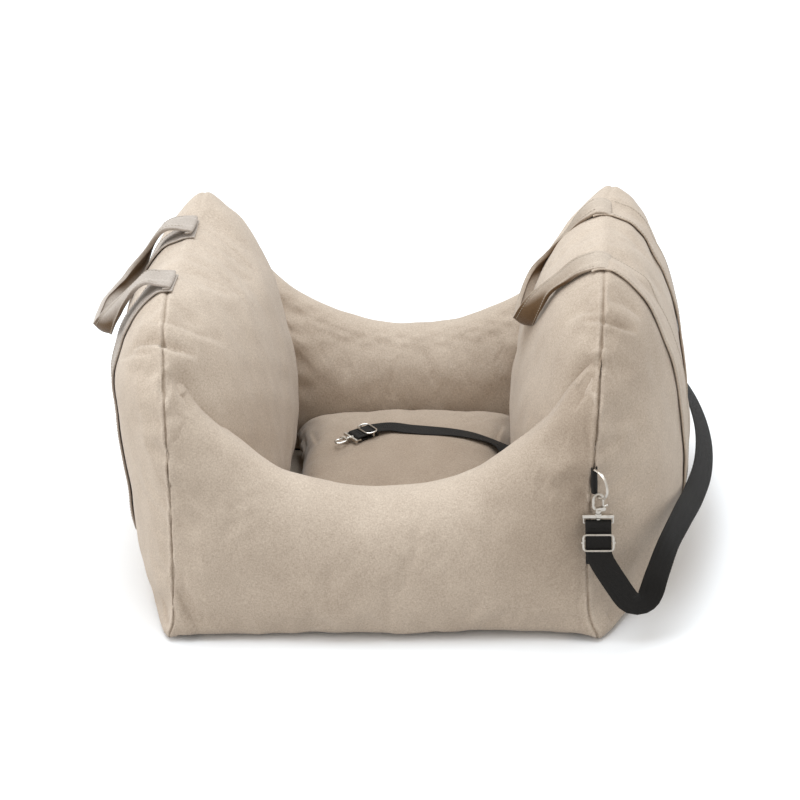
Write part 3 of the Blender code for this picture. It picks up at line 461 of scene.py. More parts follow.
def webbing_look(name):
    """Black woven webbing: slanted ribs that turn back across the width, and a worn lighter edge."""
    look = new_look(name, Roughness=0.75, Specular_IOR_Level=0.25, Sheen_Weight=0.03)
    flat = spot_on(look, "UV")
    across, along, _ = add(look.node_tree, "ShaderNodeSeparateXYZ", {0: flat}).outputs
    rib = plus(times(along, 4200), times(maths("PINGPONG", across, 0.0031), 2900))
    wave = times(plus(maths("SINE", rib), 1.0), 0.5)
    yarn = stretched(flat, (3000, 500, 1))
    dust = stretched(flat, (90, 40, 1), 3)
    share = plus(times(wave, 0.35), times(dust, 0.5))
    share = plus(share, times(tone_of(look), 0.35), True)
    colour = blended(share, (0.0024, 0.0017, 0.0011), (0.0115, 0.0088, 0.0062))
    return surfaced(look, colour, (yarn, 0.5, 0.8), (plus(wave, times(yarn, 0.5)), 0.8, 0.0003))


def metal_look():
    """Warm nickel plate: fine rub marks, duller patches and a little darkening."""
    look = new_look("nickel_plate", Roughness=0.3, Metallic=1.0)
    solid = spot_on(look)
    patch = noise(solid, 240, 4, 0.6)
    rub = stretched(solid, (4000, 900, 900))
    colour = blended(patch, (0.42, 0.38, 0.33), (0.78, 0.73, 0.66))
    mixed = plus(times(patch, 0.6), times(rub, 0.4))
    return surfaced(look, colour, (mixed, 0.16, 0.46), (rub, 0.2, 0.00008))


def backing_look():
    """Dark non-slip cloth with rows of small rubber dots."""
    look = new_look("dotted_backing", Roughness=0.85)
    solid = spot_on(look)
    grid = {"Vector": solid, "Scale": 160, "Randomness": 0.0}
    dots = add(look.node_tree, "ShaderNodeTexVoronoi", grid).outputs["Distance"]
    raised = within(dots, 0.34, 0.26)
    fibre = noise(solid, 900)
    cloth = blended(fibre, (0.020, 0.019, 0.018), (0.060, 0.056, 0.052))
    colour = blended(raised, cloth, (0.012, 0.012, 0.012))
    return surfaced(look, colour, (raised, 0.95, 0.45), (plus(raised, times(fibre, 0.3)), 0.8, 0.0006))


def board_look():
    """Grey pressed board: short fibres and pressing marks."""
    look = new_look("pressed_board", Roughness=0.8)
    solid = spot_on(look)
    fibre = stretched(solid, (900, 250, 900), 4, 0.7)
    cloud = noise(solid, 22, 3)
    share = plus(times(fibre, 0.6), times(cloud, 0.4))
    colour = blended(share, (0.10, 0.095, 0.085), (0.26, 0.24, 0.21))
    return surfaced(look, colour, (cloud, 0.65, 0.9), (fibre, 0.4, 0.0003))


def smooth_group():
    """Nodes that shade a piece smoothly, apart from its sharp edges."""
    tree = bpy.data.node_groups.new("smooth_shading", "GeometryNodeTree")
    for way in ("INPUT", "OUTPUT"):
        tree.interface.new_socket("Geometry", in_out=way, socket_type="NodeSocketGeometry")
    start = add(tree, "NodeGroupInput").outputs[0]
    angle = add(tree, "GeometryNodeInputMeshEdgeAngle").outputs["Unsigned Angle"]
    compared = {0: angle, 1: SHARP_ANGLE}
    sharp = add(tree, "FunctionNodeCompare", compared, operation="GREATER_THAN").outputs[0]
    faces = {"Geometry": start, "Shade Smooth": True}
    faces = add(tree, "GeometryNodeSetShadeSmooth", faces, domain="FACE").outputs[0]
    edges = {"Geometry": faces, "Selection": sharp, "Shade Smooth": False}
    ended = add(tree, "GeometryNodeSetShadeSmooth", edges, domain="EDGE")
    add(tree, "NodeGroupOutput", {0: ended.outputs[0]})
    return tree


# Mesh helpers


def grid_lengths(grid):
    """How far each point lies along its row and up its column, in metres."""
    along = np.linalg.norm(np.diff(grid, axis=1), axis=2).cumsum(axis=1)
    upward = np.linalg.norm(np.diff(grid, axis=0), axis=2).cumsum(axis=0)
    along = np.pad(along, ((0, 0), (1, 0)))
    along -= along[:, grid.shape[1] // 2, None]
    return along, np.pad(upward, ((1, 0), (0, 0)))


def hump(values, middle, width, power=2):
    """1 at the middle, falling off softly on both sides."""
    return np.exp(-(((values - middle) / width) ** power))


def ramp(values, start, run):
    """0 up to the start, then rising to 1 over the run."""
    return np.clip((values - start) / run, 0, 1)


def smooth(share):
    """A rise from 0 to 1 with soft ends."""
    return share * share * (3 - 2 * share)


def nearest(places):
    """A tree that finds the nearest of some places."""
    tree = KDTree(len(places))
    for i, place in enumerate(places):
        tree.insert(place, i)
    tree.balance()
    return tree


def distances(places):
    """How far along a line each of its places lies."""
    return np.concatenate(([0], np.linalg.norm(np.diff(places, axis=0), axis=1).cumsum()))


def mesh_piece(name, grids, look, weld=0.00002, fill=False):
    """One piece from grids of points, joined where they meet; texture places are in metres."""
    bm = bmesh.new()
    layer = bm.loops.layers.uv.new("UVMap")
    for grid in grids:
        grid = np.asarray(grid, float)
        u, v = grid_lengths(grid)
        made = [[bm.verts.new(point) for point in row] for row in grid]
        for j in range(len(made) - 1):
            for i in range(len(made[0]) - 1):
                places = ((j, i), (j, i + 1), (j + 1, i + 1), (j + 1, i))
                face = bm.faces.new([made[a][b] for a, b in places])
                for loop, spot in zip(face.loops, places):
                    loop[layer].uv = (u[spot], v[spot])
    bmesh.ops.remove_doubles(bm, verts=bm.verts, dist=weld)
    bmesh.ops.dissolve_degenerate(bm, edges=bm.edges, dist=weld / 4)
    if fill:
        filled = bmesh.ops.holes_fill(bm, edges=bm.edges, sides=0)["faces"]
        bmesh.ops.triangulate(bm, faces=filled)
    bmesh.ops.recalc_face_normals(bm, faces=bm.faces)
    if bm.calc_volume(signed=True) < 0:
        bmesh.ops.reverse_faces(bm, faces=bm.faces)
    mesh = bpy.data.meshes.new(name)
    bm.to_mesh(mesh)
    bm.free()
    mesh.shade_smooth()
    mesh.materials.append(look)
    return placed(name, mesh)


def rows_of(items, key, width=3, kind=float):
    """A row of numbers for each item of a mesh."""
    flat = np.empty(len(items) * width, kind)
    items.foreach_get(key, flat)
    return flat.reshape(-1, width)


def points_of(piece):
    return rows_of(piece.data.vertices, "co")


def normals_of(piece):
    return rows_of(piece.data.vertex_normals, "vector", kind=np.float32).astype(float)


def move_points(piece, points):
    piece.data.vertices.foreach_set("co", np.asarray(points, float).ravel())
    piece.data.update()


def edges_of(piece):
    return rows_of(piece.data.edges, "vertices", 2, int)


def smoothed(values, edges, rounds):
    """A value per vertex, averaged with its neighbours' over some rounds."""
    count = np.bincount(edges.ravel(), minlength=len(values)).astype(float)[:, None]
    out = values.copy()
    for _ in range(rounds):
        total = np.zeros_like(out)
        for a, b in ((0, 1), (1, 0)):
            for k in range(out.shape[1]):
                total[:, k] += np.bincount(edges[:, a], out[edges[:, b], k], len(out))
        out = out * 0.4 + total / np.maximum(count, 1) * 0.6
    return out


def refined(piece):
    """One subdivision, applied."""
    step = piece.modifiers.new("refine", "SUBSURF")
    step.levels = step.render_levels = 1
    graph = bpy.context.evaluated_depsgraph_get()
    mesh = bpy.data.meshes.new_from_object(piece.evaluated_get(graph))
    piece.modifiers.clear()
    piece.data = mesh
    mesh.shade_smooth()


def inflated(piece, held, cap, slack, fine_gain=1.0):
    """Blows a closed cloth piece up a little; its broad swelling is capped and its folds are kept."""
    rest = points_of(piece)
    group = piece.vertex_groups.new(name="held")
    group.add([int(i) for i in np.flatnonzero(held)], 1.0, "REPLACE")
    step = piece.modifiers.new("cloth", "CLOTH")
    cloth = step.settings
    cloth.vertex_group_mass = "held"
    cloth.quality = 4
    cloth.mass = 0.25
    cloth.tension_stiffness = cloth.compression_stiffness = 12
    cloth.shear_stiffness = 5
    cloth.bending_stiffness = 0.15
    cloth.use_pressure = True
    cloth.uniform_pressure_force = 4
    cloth.shrink_min = -slack
    cloth.effector_weights.gravity = 0
    step.collision_settings.use_collision = False
    scene = bpy.context.scene
    for number in range(1, CLOTH_FRAMES + 1):
        scene.frame_set(number)
    graph = bpy.context.evaluated_depsgraph_get()
    blown = rows_of(piece.evaluated_get(graph).to_mesh().vertices, "co")
    piece.evaluated_get(graph).to_mesh_clear()
    piece.modifiers.clear()
    piece.vertex_groups.clear()
    scene.frame_set(1)
    moved = blown - rest
    broad = smoothed(moved, edges_of(piece), 60)
    fine = capped(moved - broad, FOLD_CAP, fine_gain)
    move_points(piece, rest + capped(broad, cap) + fine)


def capped(moves, cap, gain=1.0):
    """Moves that level off at a length."""
    length = np.linalg.norm(moves, axis=1, keepdims=True) + 1e-9
    return moves / length * cap * np.tanh(length * gain / cap)


def near_line(points, line):
    """Each point's distance to a line of points, its share along it, and how far above it lies."""
    line = np.asarray(line, float)
    best = np.full(len(points), np.inf)
    share = above = np.zeros(len(points))
    gone = distances(line)
    gone /= gone[-1]
    for start, stop, low, high in zip(line, line[1:], gone, gone[1:]):
        along = stop - start
        t = np.clip((points - start) @ along / (along @ along), 0, 1)
        gap = points - (start + t[:, None] * along)
        far = np.linalg.norm(gap, axis=1)
        closer = far < best
        best = np.where(closer, far, best)
        share = np.where(closer, low + (high - low) * t, share)
        above = np.where(closer, gap[:, 2], above)
    return best, share, above


def lumps(points, size, seed):
    """A soft random height per point, about -1 to 1, with lumps of one size."""
    random = np.random.default_rng(seed)
    total = np.zeros(len(points))
    for _ in range(9):
        way = random.normal(size=3)
        way *= 2 * math.pi / size / np.linalg.norm(way) * random.uniform(0.6, 1.3)
        total += np.sin(points @ way + random.uniform(0, 6.28))
    return total / 3.2


def uneven(points, sizes, seed):
    """Lumps of several sizes together."""
    return sum(lumps(points, size, seed + shift) * height for size, height, shift in sizes)


def pressed_fold(points, normals, line, depth, width):
    """A fold along a line: the cloth above runs down into it, the cloth below stands up beside it; it
    also gives painted shade in and above the fold.
    """
    far, share, above = near_line(points, line)
    taper = np.sin(np.pi * np.clip(share, 0.001, 0.999)) ** 0.6
    upper = -hump(far, 0, width * 2.2, 1.5)
    lower = 0.5 * hump(far, 0, width * 2.6) - 1.5 * hump(far, 0, width * 0.5)
    height = np.where(above > 0, upper, lower) * depth * taper
    # Painted shade: darker along the fold's line and on the slope that runs down into it.
    dark = hump(far, 0, 0.0016) * 0.16 + hump(far, 0, width * 2) * (above > 0) * 0.07
    return normals * height[:, None], dark * taper * min(1, depth / 0.003)


def seam_drawn(points, normals, line, draw, seed):
    """Draws cloth into a seam, with lips beside it and small puckers along it."""
    depth, width, pucker = draw
    tree = nearest(line)
    far = np.array([tree.find(point)[2] for point in points])
    ripple = 1 + pucker * lumps(points, 0.016, seed) + pucker * 0.7 * lumps(points, 0.045, seed + 1)
    groove = -hump(far, 0, width) * depth
    lips = hump(far, width * 3, width * 2) * depth * 0.3 * ripple
    creep = hump(far, 0, width * 12) * depth * 0.6 * (ripple - 1)
    return normals * (groove + lips + creep)[:, None], far


def seam_shade_and_wear(far):
    """Painted shade in a seam's groove, and worn pale beside it."""
    return hump(far, 0.0036, 0.0022) * 0.09 - hump(far, 0, 0.0012) * 0.42


def press_folds(points, normals, lines, moved, crease_shade):
    """Adds the moves and the painted shade of folds, each a line with its depth and width."""
    for line, depth, width in lines:
        fold, fold_shade = pressed_fold(points, normals, line, depth, width)
        moved += fold
        crease_shade += fold_shade


def set_tone(piece, values):
    """Lighter above a half, darker below it; it carries painted light and shade besides wear and random
    tone.
    """
    layer = piece.data.attributes.new("tone", "FLOAT", "POINT")
    layer.data.foreach_set("value", np.clip(values, 0, 1).astype(np.float32))


def painted_top_light(piece, share=0.10):
    """Painted light: the cloth is a little paler where it faces up, as if lit from above."""
    return share * ramp(normals_of(piece)[:, 2], 0.10, 0.6)


def tree_of(piece):
    graph = bpy.context.evaluated_depsgraph_get()
    return BVHTree.FromObject(piece, graph)


def cast(folds, tree):
    """Folds given as pixels, laid where the camera sees them on a surface; others are left out."""
    lines = []
    for pixels, depth, width in folds:
        found = [tree.ray_cast(CAMERA_PLACE, sight(pixel))[0] for pixel in pixels]
        found = [point for point in found if point is not None]
        if len(found) > 1:
            lines.append((found, depth, width))
    return lines


def mirrored(line, tree):
    """The same line at the other end of the seat, laid on the surface."""
    return [tree.find_nearest(Vector((point.x, -point.y, point.z)))[0] for point in line]


# The pillow walls


def spaced(count, low=-1.0, mix=0.80):
    """Shares from low to 1, some closer together near the seams."""
    even = np.linspace(low, 1, count + 1)
    return even * (1 - mix) + np.sin(np.pi / 2 * even) * mix


def wall_swell(along, up):
    ends = np.maximum(0, 1 - np.abs(along) ** 2.6) ** 0.75
    top = np.maximum(0, 1 - up**3.5) ** 0.65
    low = np.maximum(0, 1 - up / 0.45)
    return ends * top * (1 - 0.38 * low**2)


def wall_outline(y):
    past = np.maximum(0, np.abs(y) - (SEAM_Y - WALL_CORNER))
    return WALL_HEIGHT - WALL_CORNER + np.sqrt(np.maximum(0, WALL_CORNER**2 - past**2))


def wall_reach(y, z, bulge):
    """How far a wall's panel stands from the seam's plane at a place."""
    y = np.clip(y, -SEAM_Y, SEAM_Y)
    up = np.clip((z - WALL_FOOT) / (wall_outline(y) - WALL_FOOT), 0, 1)
    return bulge * wall_swell(y / SEAM_Y, up)


def wall_panel(side, outer):
    columns, rows = WALL_CELLS
    along, up = np.meshgrid(spaced(columns), spaced(rows, 0.0))
    y = along * SEAM_Y
    z = WALL_FOOT + up * (wall_outline(y) - WALL_FOOT)
    reach = (OUTER_BULGE if outer else INNER_BULGE) * wall_swell(along, up)
    drawn = foot_round(z)
    reach = np.maximum(reach - drawn * np.minimum(1, reach / 0.03), 0)
    x = side * SEAM_X + (side if outer else -side) * reach
    y = y - np.sign(y) * drawn * 0.6 * np.abs(along) ** 10
    return np.stack((x, y, z), axis=2)


def foot_round(z):
    """How far the cloth is drawn in as it turns under at the foot."""
    low = np.clip((FOOT_RADIUS - (z - WALL_FOOT)) / FOOT_RADIUS, 0, 1)
    return FOOT_RADIUS * (1 - np.sqrt(1 - low**2))


def sewn_shape(points):
    """The front seams bow towards the bolster, and the corners stand out at the foot."""
    points = np.array(points, float)
    x, y, z = points.T
    front = ramp(-y, 0.12, 0.08)
    for side, bows in SEAM_BOWS.items():
        move = sum(size * hump(z, *spot) for size, *spot in bows)
        points[:, 0] += move * front * hump(x, side * SEAM_X, 0.045)
    corner = hump(np.abs(x), 0.200, 0.050) * ramp(np.abs(y), 0.14, 0.08)
    points[:, 1] += np.sign(y) * 0.013 * corner * hump(z, 0, 0.046)
    return points


def settled(points, side):
    """The walls as they have settled: straps pull the left ridge down, and top corners stand out."""
    points = np.array(points, float)
    x, y, z = points.T
    high = smooth(ramp(z, 0.20, 0.135))
    outer = np.clip(side * (x - side * SEAM_X) / 0.02, 0, 1)
    if side < 0:
        points[:, 0] -= np.minimum(0, x + SEAM_X) * 0.23 * (1 - smooth(ramp(z, 0.12, 0.13)))
        points[:, 2] -= 0.0135 * hump(y, -0.02, 0.115, 4) * high**1.5
        points[:, 0] -= 0.006 * outer * hump(z, 0.275, 0.06) * hump(y, -0.20, 0.07)
    else:
        points[:, 0] += 0.009 * hump(y, 0.14, 0.055) * high
        points[:, 0] += 0.003 * outer * hump(y, 0.10, 0.10) * high
    peak = hump(y, 0.137, 0.030) * hump(x, side * SEAM_X, 0.022)
    points[:, 2] += 0.0030 * peak * high**2
    return sewn_shape(points)


def ridge_place(side, y):
    return Vector(settled([(side * SEAM_X, y, float(wall_outline(np.array(y))))], side)[0])


def seam_line(side):
    """The seam up the front, over the ridge and down the back."""
    low = [(side * SEAM_X, -SEAM_Y, z) for z in np.arange(0.0, 0.18, 0.0015)]
    y = np.sin(np.linspace(-np.pi / 2, np.pi / 2, 500)) * SEAM_Y
    ridge = [(side * SEAM_X, a, b) for a, b in zip(y, wall_outline(y))]
    return settled(low + ridge + [(x, -y, z) for x, y, z in low[::-1]], side)


def crest_line(side, facing):
    """Where a bolster's crest runs down the wall's inner face from the seam."""
    share = np.linspace(0.999, 0.55, 60) * side
    x, y, z = bolster_points(share, np.full(60, 0.985), True, facing)
    return sewn_shape(np.stack((x, y * facing, z), axis=1))


def wall(name, side, folds, cloth, seed):
    grids = [wall_panel(side, outer) for outer in (True, False)]
    feet = [grid[0] for grid in grids]
    shares = np.linspace(0, 1, 7)[:, None, None]
    grids.append(feet[0] * (1 - shares) + feet[1] * shares)
    piece = mesh_piece(name, grids, cloth)
    rest = points_of(piece)
    on_seam = np.abs(rest[:, 0] - side * SEAM_X) < 0.0004
    held = (on_seam & (rest[:, 2] > 0.003)) | (rest[:, 2] < WALL_FOOT + 0.001)
    inflated(piece, held, cap=0.0024, slack=0.035)
    refined(piece)
    move_points(piece, settled(points_of(piece), side))
    points, normals = points_of(piece), normals_of(piece)
    x, y, z = points.T
    drawn, from_seam = seam_drawn(points, normals, seam_line(side), WALL_SEAM, seed + 9)
    free = ramp(z, 0.004, 0.03) * np.clip(from_seam / 0.025, 0, 1)
    moved = normals * (uneven(points, WALL_LUMPS, seed) * free)[:, None]
    sharp = 0.12 + 0.88 * np.clip(np.maximum(-0.10 - y, y - 0.18) / 0.04, 0, 1)
    moved += drawn * sharp[:, None]
    tree = tree_of(piece)
    crease_shade = np.zeros(len(points))
    lines = cast(folds, tree)
    inward = side * (x - side * SEAM_X) < 0
    # Where the bolsters' crests meet the wall, the wall is pressed in and painted shade darkens it.
    for facing in (-1, 1):
        far, share, _ = near_line(points, crest_line(side, facing))
        deep = 0.0045 + 0.0075 * hump(share, 0.16, 0.14)
        near = hump(far, 0, 0.011) * np.minimum(1, share * 12) * deep
        moved -= normals * (near * inward)[:, None]
        crease_shade += hump(far, 0, 0.006) * inward * 0.10
    lines += [(mirrored(line, tree), depth * 0.8, width * 1.1) for line, depth, width in lines]
    press_folds(points, normals, lines, moved, crease_shade)
    points = points + moved
    points[:, 2] = np.maximum(points[:, 2], WALL_FOOT)
    move_points(piece, points)
    x, y, z = points.T
    # Painted shade in the seam and the folds, and a random tone; painted light on faces that look up,
    # weaker on the right wall's outer face.
    tone = 0.5 + seam_shade_and_wear(from_seam) * sharp - crease_shade + lumps(points, 0.06, seed + 3) * 0.02
    tone += painted_top_light(piece) * (1 if side < 0 else np.clip((SEAM_X + 0.01 - x) / 0.02, 0.2, 1))
    # Right wall: painted light on its inner face, painted shade on the front of its ridge.
    if side > 0:
        tone += 0.12 * np.clip((SEAM_X - 0.03 - x) / 0.04, 0, 1)
        tone -= 0.20 * hump(y, -0.17, 0.09) * ramp(z, 0.19, 0.07)
    set_tone(piece, tone)
    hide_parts(name + "_cover", name + "_filling")
    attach(piece, "seat")
    return piece


# The bolsters


def seam_place(z):
    over = np.clip(z - (WALL_HEIGHT - WALL_CORNER), 0, WALL_CORNER)
    return SEAM_Y - WALL_CORNER + np.sqrt(WALL_CORNER**2 - over**2)


def bolster_points(share, up, outer, facing=1):
    """Places on a bolster's skin with its face to +Y; the front one's crest hangs lower on the left."""
    crest = SEAM_Y - BOLSTER_THICK
    top = BOLSTER_DIP + (BOLSTER_END - BOLSTER_DIP) * np.abs(share) ** 2.4
    if facing < 0:
        low = ramp(-share, 0.25, 0.30)
        high = ramp(share, 0.30, 0.30) * np.clip((1 - share) / 0.12, 0, 1)
        top = top - 0.0078 * smooth(low) + 0.0055 * smooth(high)
    z = WALL_FOOT + up * (top - WALL_FOOT)
    end = np.abs(share) ** 6
    full = np.sqrt(np.maximum(0, 1 - up**3.2))
    if outer:
        middle = crest + (BOLSTER_THICK + BOLSTER_BELLY * (1 - share**2)) * full
        seam = seam_place(WALL_FOOT + up * (BOLSTER_END - WALL_FOOT))
        y = middle + (seam - middle) * end
    else:
        low = 1 - 0.18 * np.maximum(0, 1 - up / 0.45) ** 2
        y = crest + (seam_place(BOLSTER_END) - crest) * end - BOLSTER_THICK * full * low
    return share * SEAM_X, y, z


def bolster_panel(facing, outer):
    """One side of a bolster, out to where it meets the walls."""
    columns, rows = BOLSTER_CELLS
    up = spaced(rows, 0.0)
    low, high = np.full(len(up), 0.3), np.ones(len(up))
    for _ in range(40):
        middle = (low + high) / 2
        x, y, z = bolster_points(middle, up, outer)
        inside = x < SEAM_X - wall_reach(y, z, INNER_BULGE) + 0.0015 + 0.0085 * up**8
        low, high = np.where(inside, middle, low), np.where(inside, high, middle)
    reach = np.where(low > 0.995, 1.0, low)
    share = reach[:, None] * spaced(columns, -1.0, 0.72)[None, :]
    x, y, z = bolster_points(share, up[:, None] * np.ones_like(share), outer, facing)
    round_in = foot_round(z) * (1 - np.abs(share) ** 14)
    y = y - (round_in if outer else -round_in)
    return np.stack((x, y * facing, z), axis=2)


def bolster(name, facing, folds, cloth, seed):
    outer, inner = bolster_panel(facing, True), bolster_panel(facing, False)
    piece = mesh_piece(name, [outer, inner], cloth, weld=0.0001, fill=True)
    rest = points_of(piece)
    edge = nearest(np.concatenate([panel[:, (0, -1)].reshape(-1, 3) for panel in (outer, inner)]))
    at_end = np.array([edge.find(point)[2] < 0.0012 for point in rest])
    inflated(piece, at_end | (rest[:, 2] < WALL_FOOT + 0.001), cap=0.0030, slack=0.03)
    refined(piece)
    move_points(piece, sewn_shape(points_of(piece)))
    points, normals = points_of(piece), normals_of(piece)
    free = np.clip((SEAM_X - 0.015 - np.abs(points[:, 0])) / 0.02, 0, 1)
    moved = normals * (uneven(points, BOLSTER_LUMPS, seed) * free)[:, None]
    seams = np.concatenate([seam_line(side) for side in (-1, 1)])
    drawn, far = seam_drawn(points, normals, seams, WALL_SEAM, seed + 9)
    moved += drawn
    if facing > 0:
        crest = bolster_points(np.linspace(-0.93, 0.93, 300), np.full(300, 0.93), False)
        drawn, beside = seam_drawn(points, normals, np.stack(crest, axis=1), CREST_SEAM, seed + 12)
        moved += drawn
    crease_shade = np.zeros(len(points))
    press_folds(points, normals, cast(folds, tree_of(piece)), moved, crease_shade)
    points = points + moved
    points[:, 2] = np.maximum(points[:, 2], WALL_FOOT)
    move_points(piece, points)
    # Painted shade in the seams and folds, and a random tone; on the front bolster, painted light on
    # faces that look up and painted shade towards its right end; on the back bolster, a little painted
    # light on faces that look up and painted shade in the crest seam.
    tone = 0.5 + seam_shade_and_wear(far) - crease_shade + lumps(points, 0.06, seed + 3) * 0.02
    if facing < 0:
        tone += painted_top_light(piece)
        tone -= 0.31 * ramp(points[:, 0], 0.05, 0.13) ** 1.2 * ramp(points[:, 2], 0.02, 0.08)
    else:
        tone += painted_top_light(piece, 0.02) - hump(beside, 0, 0.0013) * 0.14
    set_tone(piece, tone)
    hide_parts(name + "_cover", name + "_filling")
    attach(piece, "seat")


# The base cushion


def cushion_half(upper):
    across, along = np.meshgrid(spaced(CUSHION_CELLS), spaced(CUSHION_CELLS))
    half_depth = SEAM_Y - 2 * BOLSTER_THICK - CUSHION_GAP
    y = along * (1 - 0.012 * np.abs(across) ** 8)
    y *= half_depth - 0.006 * (1 - across**2) * np.abs(along) ** 4
    reach = INNER_BULGE * 0.962 * np.maximum(0, 1 - np.abs(y / SEAM_Y) ** 2.6) ** 0.75
    x = across * (SEAM_X - reach - CUSHION_GAP) * (1 - 0.012 * np.abs(along) ** 8)
    power = 14 if upper else 8
    full = np.sqrt(np.maximum(0, (1 - np.abs(across) ** power) * (1 - np.abs(along) ** power)))
    full *= 1 - upper * (0.19 * across**2 + 0.20 * along**2 + 0.08 * across**2 * along**2)
    height = (CUSHION_CROWN - 0.0015) if upper else -CUSHION_SOLE
    return np.stack((x, y, CUSHION_SEAM + height * full), axis=2)


def cushion(cloth):
    upper = cushion_half(True)
    piece = mesh_piece("base_cushion", [upper, cushion_half(False)], cloth)
    rim = np.abs(points_of(piece)[:, 2] - CUSHION_SEAM) < 0.0002
    inflated(piece, rim, cap=0.0022, slack=0.030, fine_gain=0.45)
    refined(piece)
    points, normals = points_of(piece), normals_of(piece)
    border = np.concatenate((upper[0], upper[-1], upper[:, 0], upper[:, -1]))
    starts, stops = border[:-1], border[1:]
    close = np.linalg.norm(stops - starts, axis=1) < 0.02
    steps = np.linspace(0, 1, 9)[:, None, None]
    border = (starts[close] * (1 - steps) + stops[close] * steps).reshape(-1, 3)
    drawn, far = seam_drawn(points, normals, border, CUSHION_DRAW, 61)
    over = np.clip((points[:, 2] - CUSHION_SEAM) / 0.02, 0, 1)
    moved = normals * (lumps(points, 0.070, 51) * 0.0003 * over)[:, None] + drawn
    surface = tree_of(piece)
    crease_shade = np.zeros(len(points))
    lines = [
        (one, depth, width)
        for line, depth, width in cast(CUSHION_FOLDS, surface)
        for one in (line, mirrored(line, surface))
    ]
    press_folds(points, normals, lines, moved, crease_shade)
    points = points + moved
    points[:, 2] = np.clip(points[:, 2], CUSHION_SEAM - CUSHION_SOLE, CUSHION_SEAM + CUSHION_CROWN)
    move_points(piece, points)
    # Painted shade: the whole top is darker, as if shaded by the walls; painted light towards the rear
    # edge; painted shade in the seam and folds; and a random tone.
    rear = 0.18 * ramp(points[:, 1], 0.02, 0.10)
    dark = hump(far, 0, 0.0015) * 0.09 + crease_shade
    set_tone(piece, 0.09 + rear - dark + lumps(points, 0.05, 53) * 0.02)
    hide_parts("base_cushion_top_cover", "base_cushion_bottom_cover", "base_cushion_foam")
    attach(piece, "base_cushion")


# Straps


def eased(points, step):
    """A smooth curve through a route's places and facings, cut into steps of about one length."""
    ends = [points[0]] + list(points) + [points[-1]]
    found = []
    for four in zip(ends, ends[1:], ends[2:], ends[3:]):
        count = max(1, round((four[2][0] - four[1][0]).length / step))
        for i in range(count):
            found.append(tuple(on_curve(*values, i / count) for values in zip(*four)))
    found.append(points[-1])
    return found


def on_curve(a, b, c, d, t):
    """The point at a share t between b and c of the Catmull-Rom curve through four points."""
    linear, square, cube = c - a, a * 2 - b * 5 + c * 4 - d, b * 3 - a - c * 3 + d
    return (b * 2 + linear * t + square * t**2 + cube * t**3) / 2


def as_vectors(route):
    """The places in metres and the facings of a route's rows."""
    return [(Vector([value / 1000 for value in row[:3]]), Vector(row[3:])) for row in route]


def strap_frames(line):
    """Places, ways across and ways out along a strap."""
    places, sides, outs = [], [], []
    for i, (place, facing) in enumerate(line):
        ahead = line[min(i + 1, len(line) - 1)][0] - line[max(i - 1, 0)][0]
        across = ahead.cross(facing).normalized()
        places.append(place)
        sides.append(across)
        outs.append(across.cross(ahead).normalized())
    return [np.array(item) for item in (places, sides, outs)]


def webbing_strap(name, line, look, width=WEBBING_WIDTH, thickness=WEBBING_THICKNESS):
    """A flat woven strap with soft edges."""
    places, sides, outs = strap_frames(line)
    across = np.array((-1, -0.985, -0.93, -0.6, -0.3, 0, 0.3, 0.6, 0.93, 0.985, 1))
    height = np.array((0, 0.6, 1, 1, 1, 1, 1, 1, 1, 0.6, 0))
    grids = []
    for face in (1, -1):
        offsets = sides[:, None] * (across * width / 2)[None, :, None]
        offsets = offsets + outs[:, None] * (height * face * thickness / 2)[None, :, None]
        grids.append(places[:, None] + offsets)
    piece = mesh_piece(name, grids, look, weld=0.00001, fill=True)
    points = points_of(piece)
    edge = np.abs(near_frames(points, places, sides)) / (width / 2)
    set_tone(piece, np.clip((edge - 0.86) * 6, 0, 1))
    return piece


def near_frames(points, places, sides):
    """How far across the strap each point lies."""
    tree = nearest(places)
    found = [tree.find(point)[1] for point in points]
    return np.einsum("ij,ij->i", points - places[found], sides[found])


def eye_turn(share, place, turn, drop):
    """The webbing's line from behind an eye's bar up round it and down to the front."""
    reach = EYE_LANE * share + (1 - share) * (0.0003 + WEBBING_THICKNESS / 2)
    line = [(Vector((0, reach, -drop * k / 6)), Vector((0, 1, 0))) for k in range(6, 0, -1)]
    for i in range(11):
        angle = math.pi * i / 10
        facing = Vector((0, math.cos(angle), math.sin(angle)))
        line.append((facing * reach, facing))
    low = (SLIDER_DROP + SLIDER_HALF) * share
    line += [(Vector((0, -reach, -low * k / 6)), Vector((0, -1, 0))) for k in range(1, 7)]
    return [(place + turn @ spot, turn @ facing) for spot, facing in line]


def value_at(where, gone, values):
    """A place or a facing between a line's own, so far along it."""
    return np.array([np.interp(where, gone, values[:, k]) for k in range(3)])


def seam_of(places, facings):
    """A line of stitches through places, each with its facing."""
    return [(Vector(place), Vector(facing)) for place, facing in zip(places, facings)]


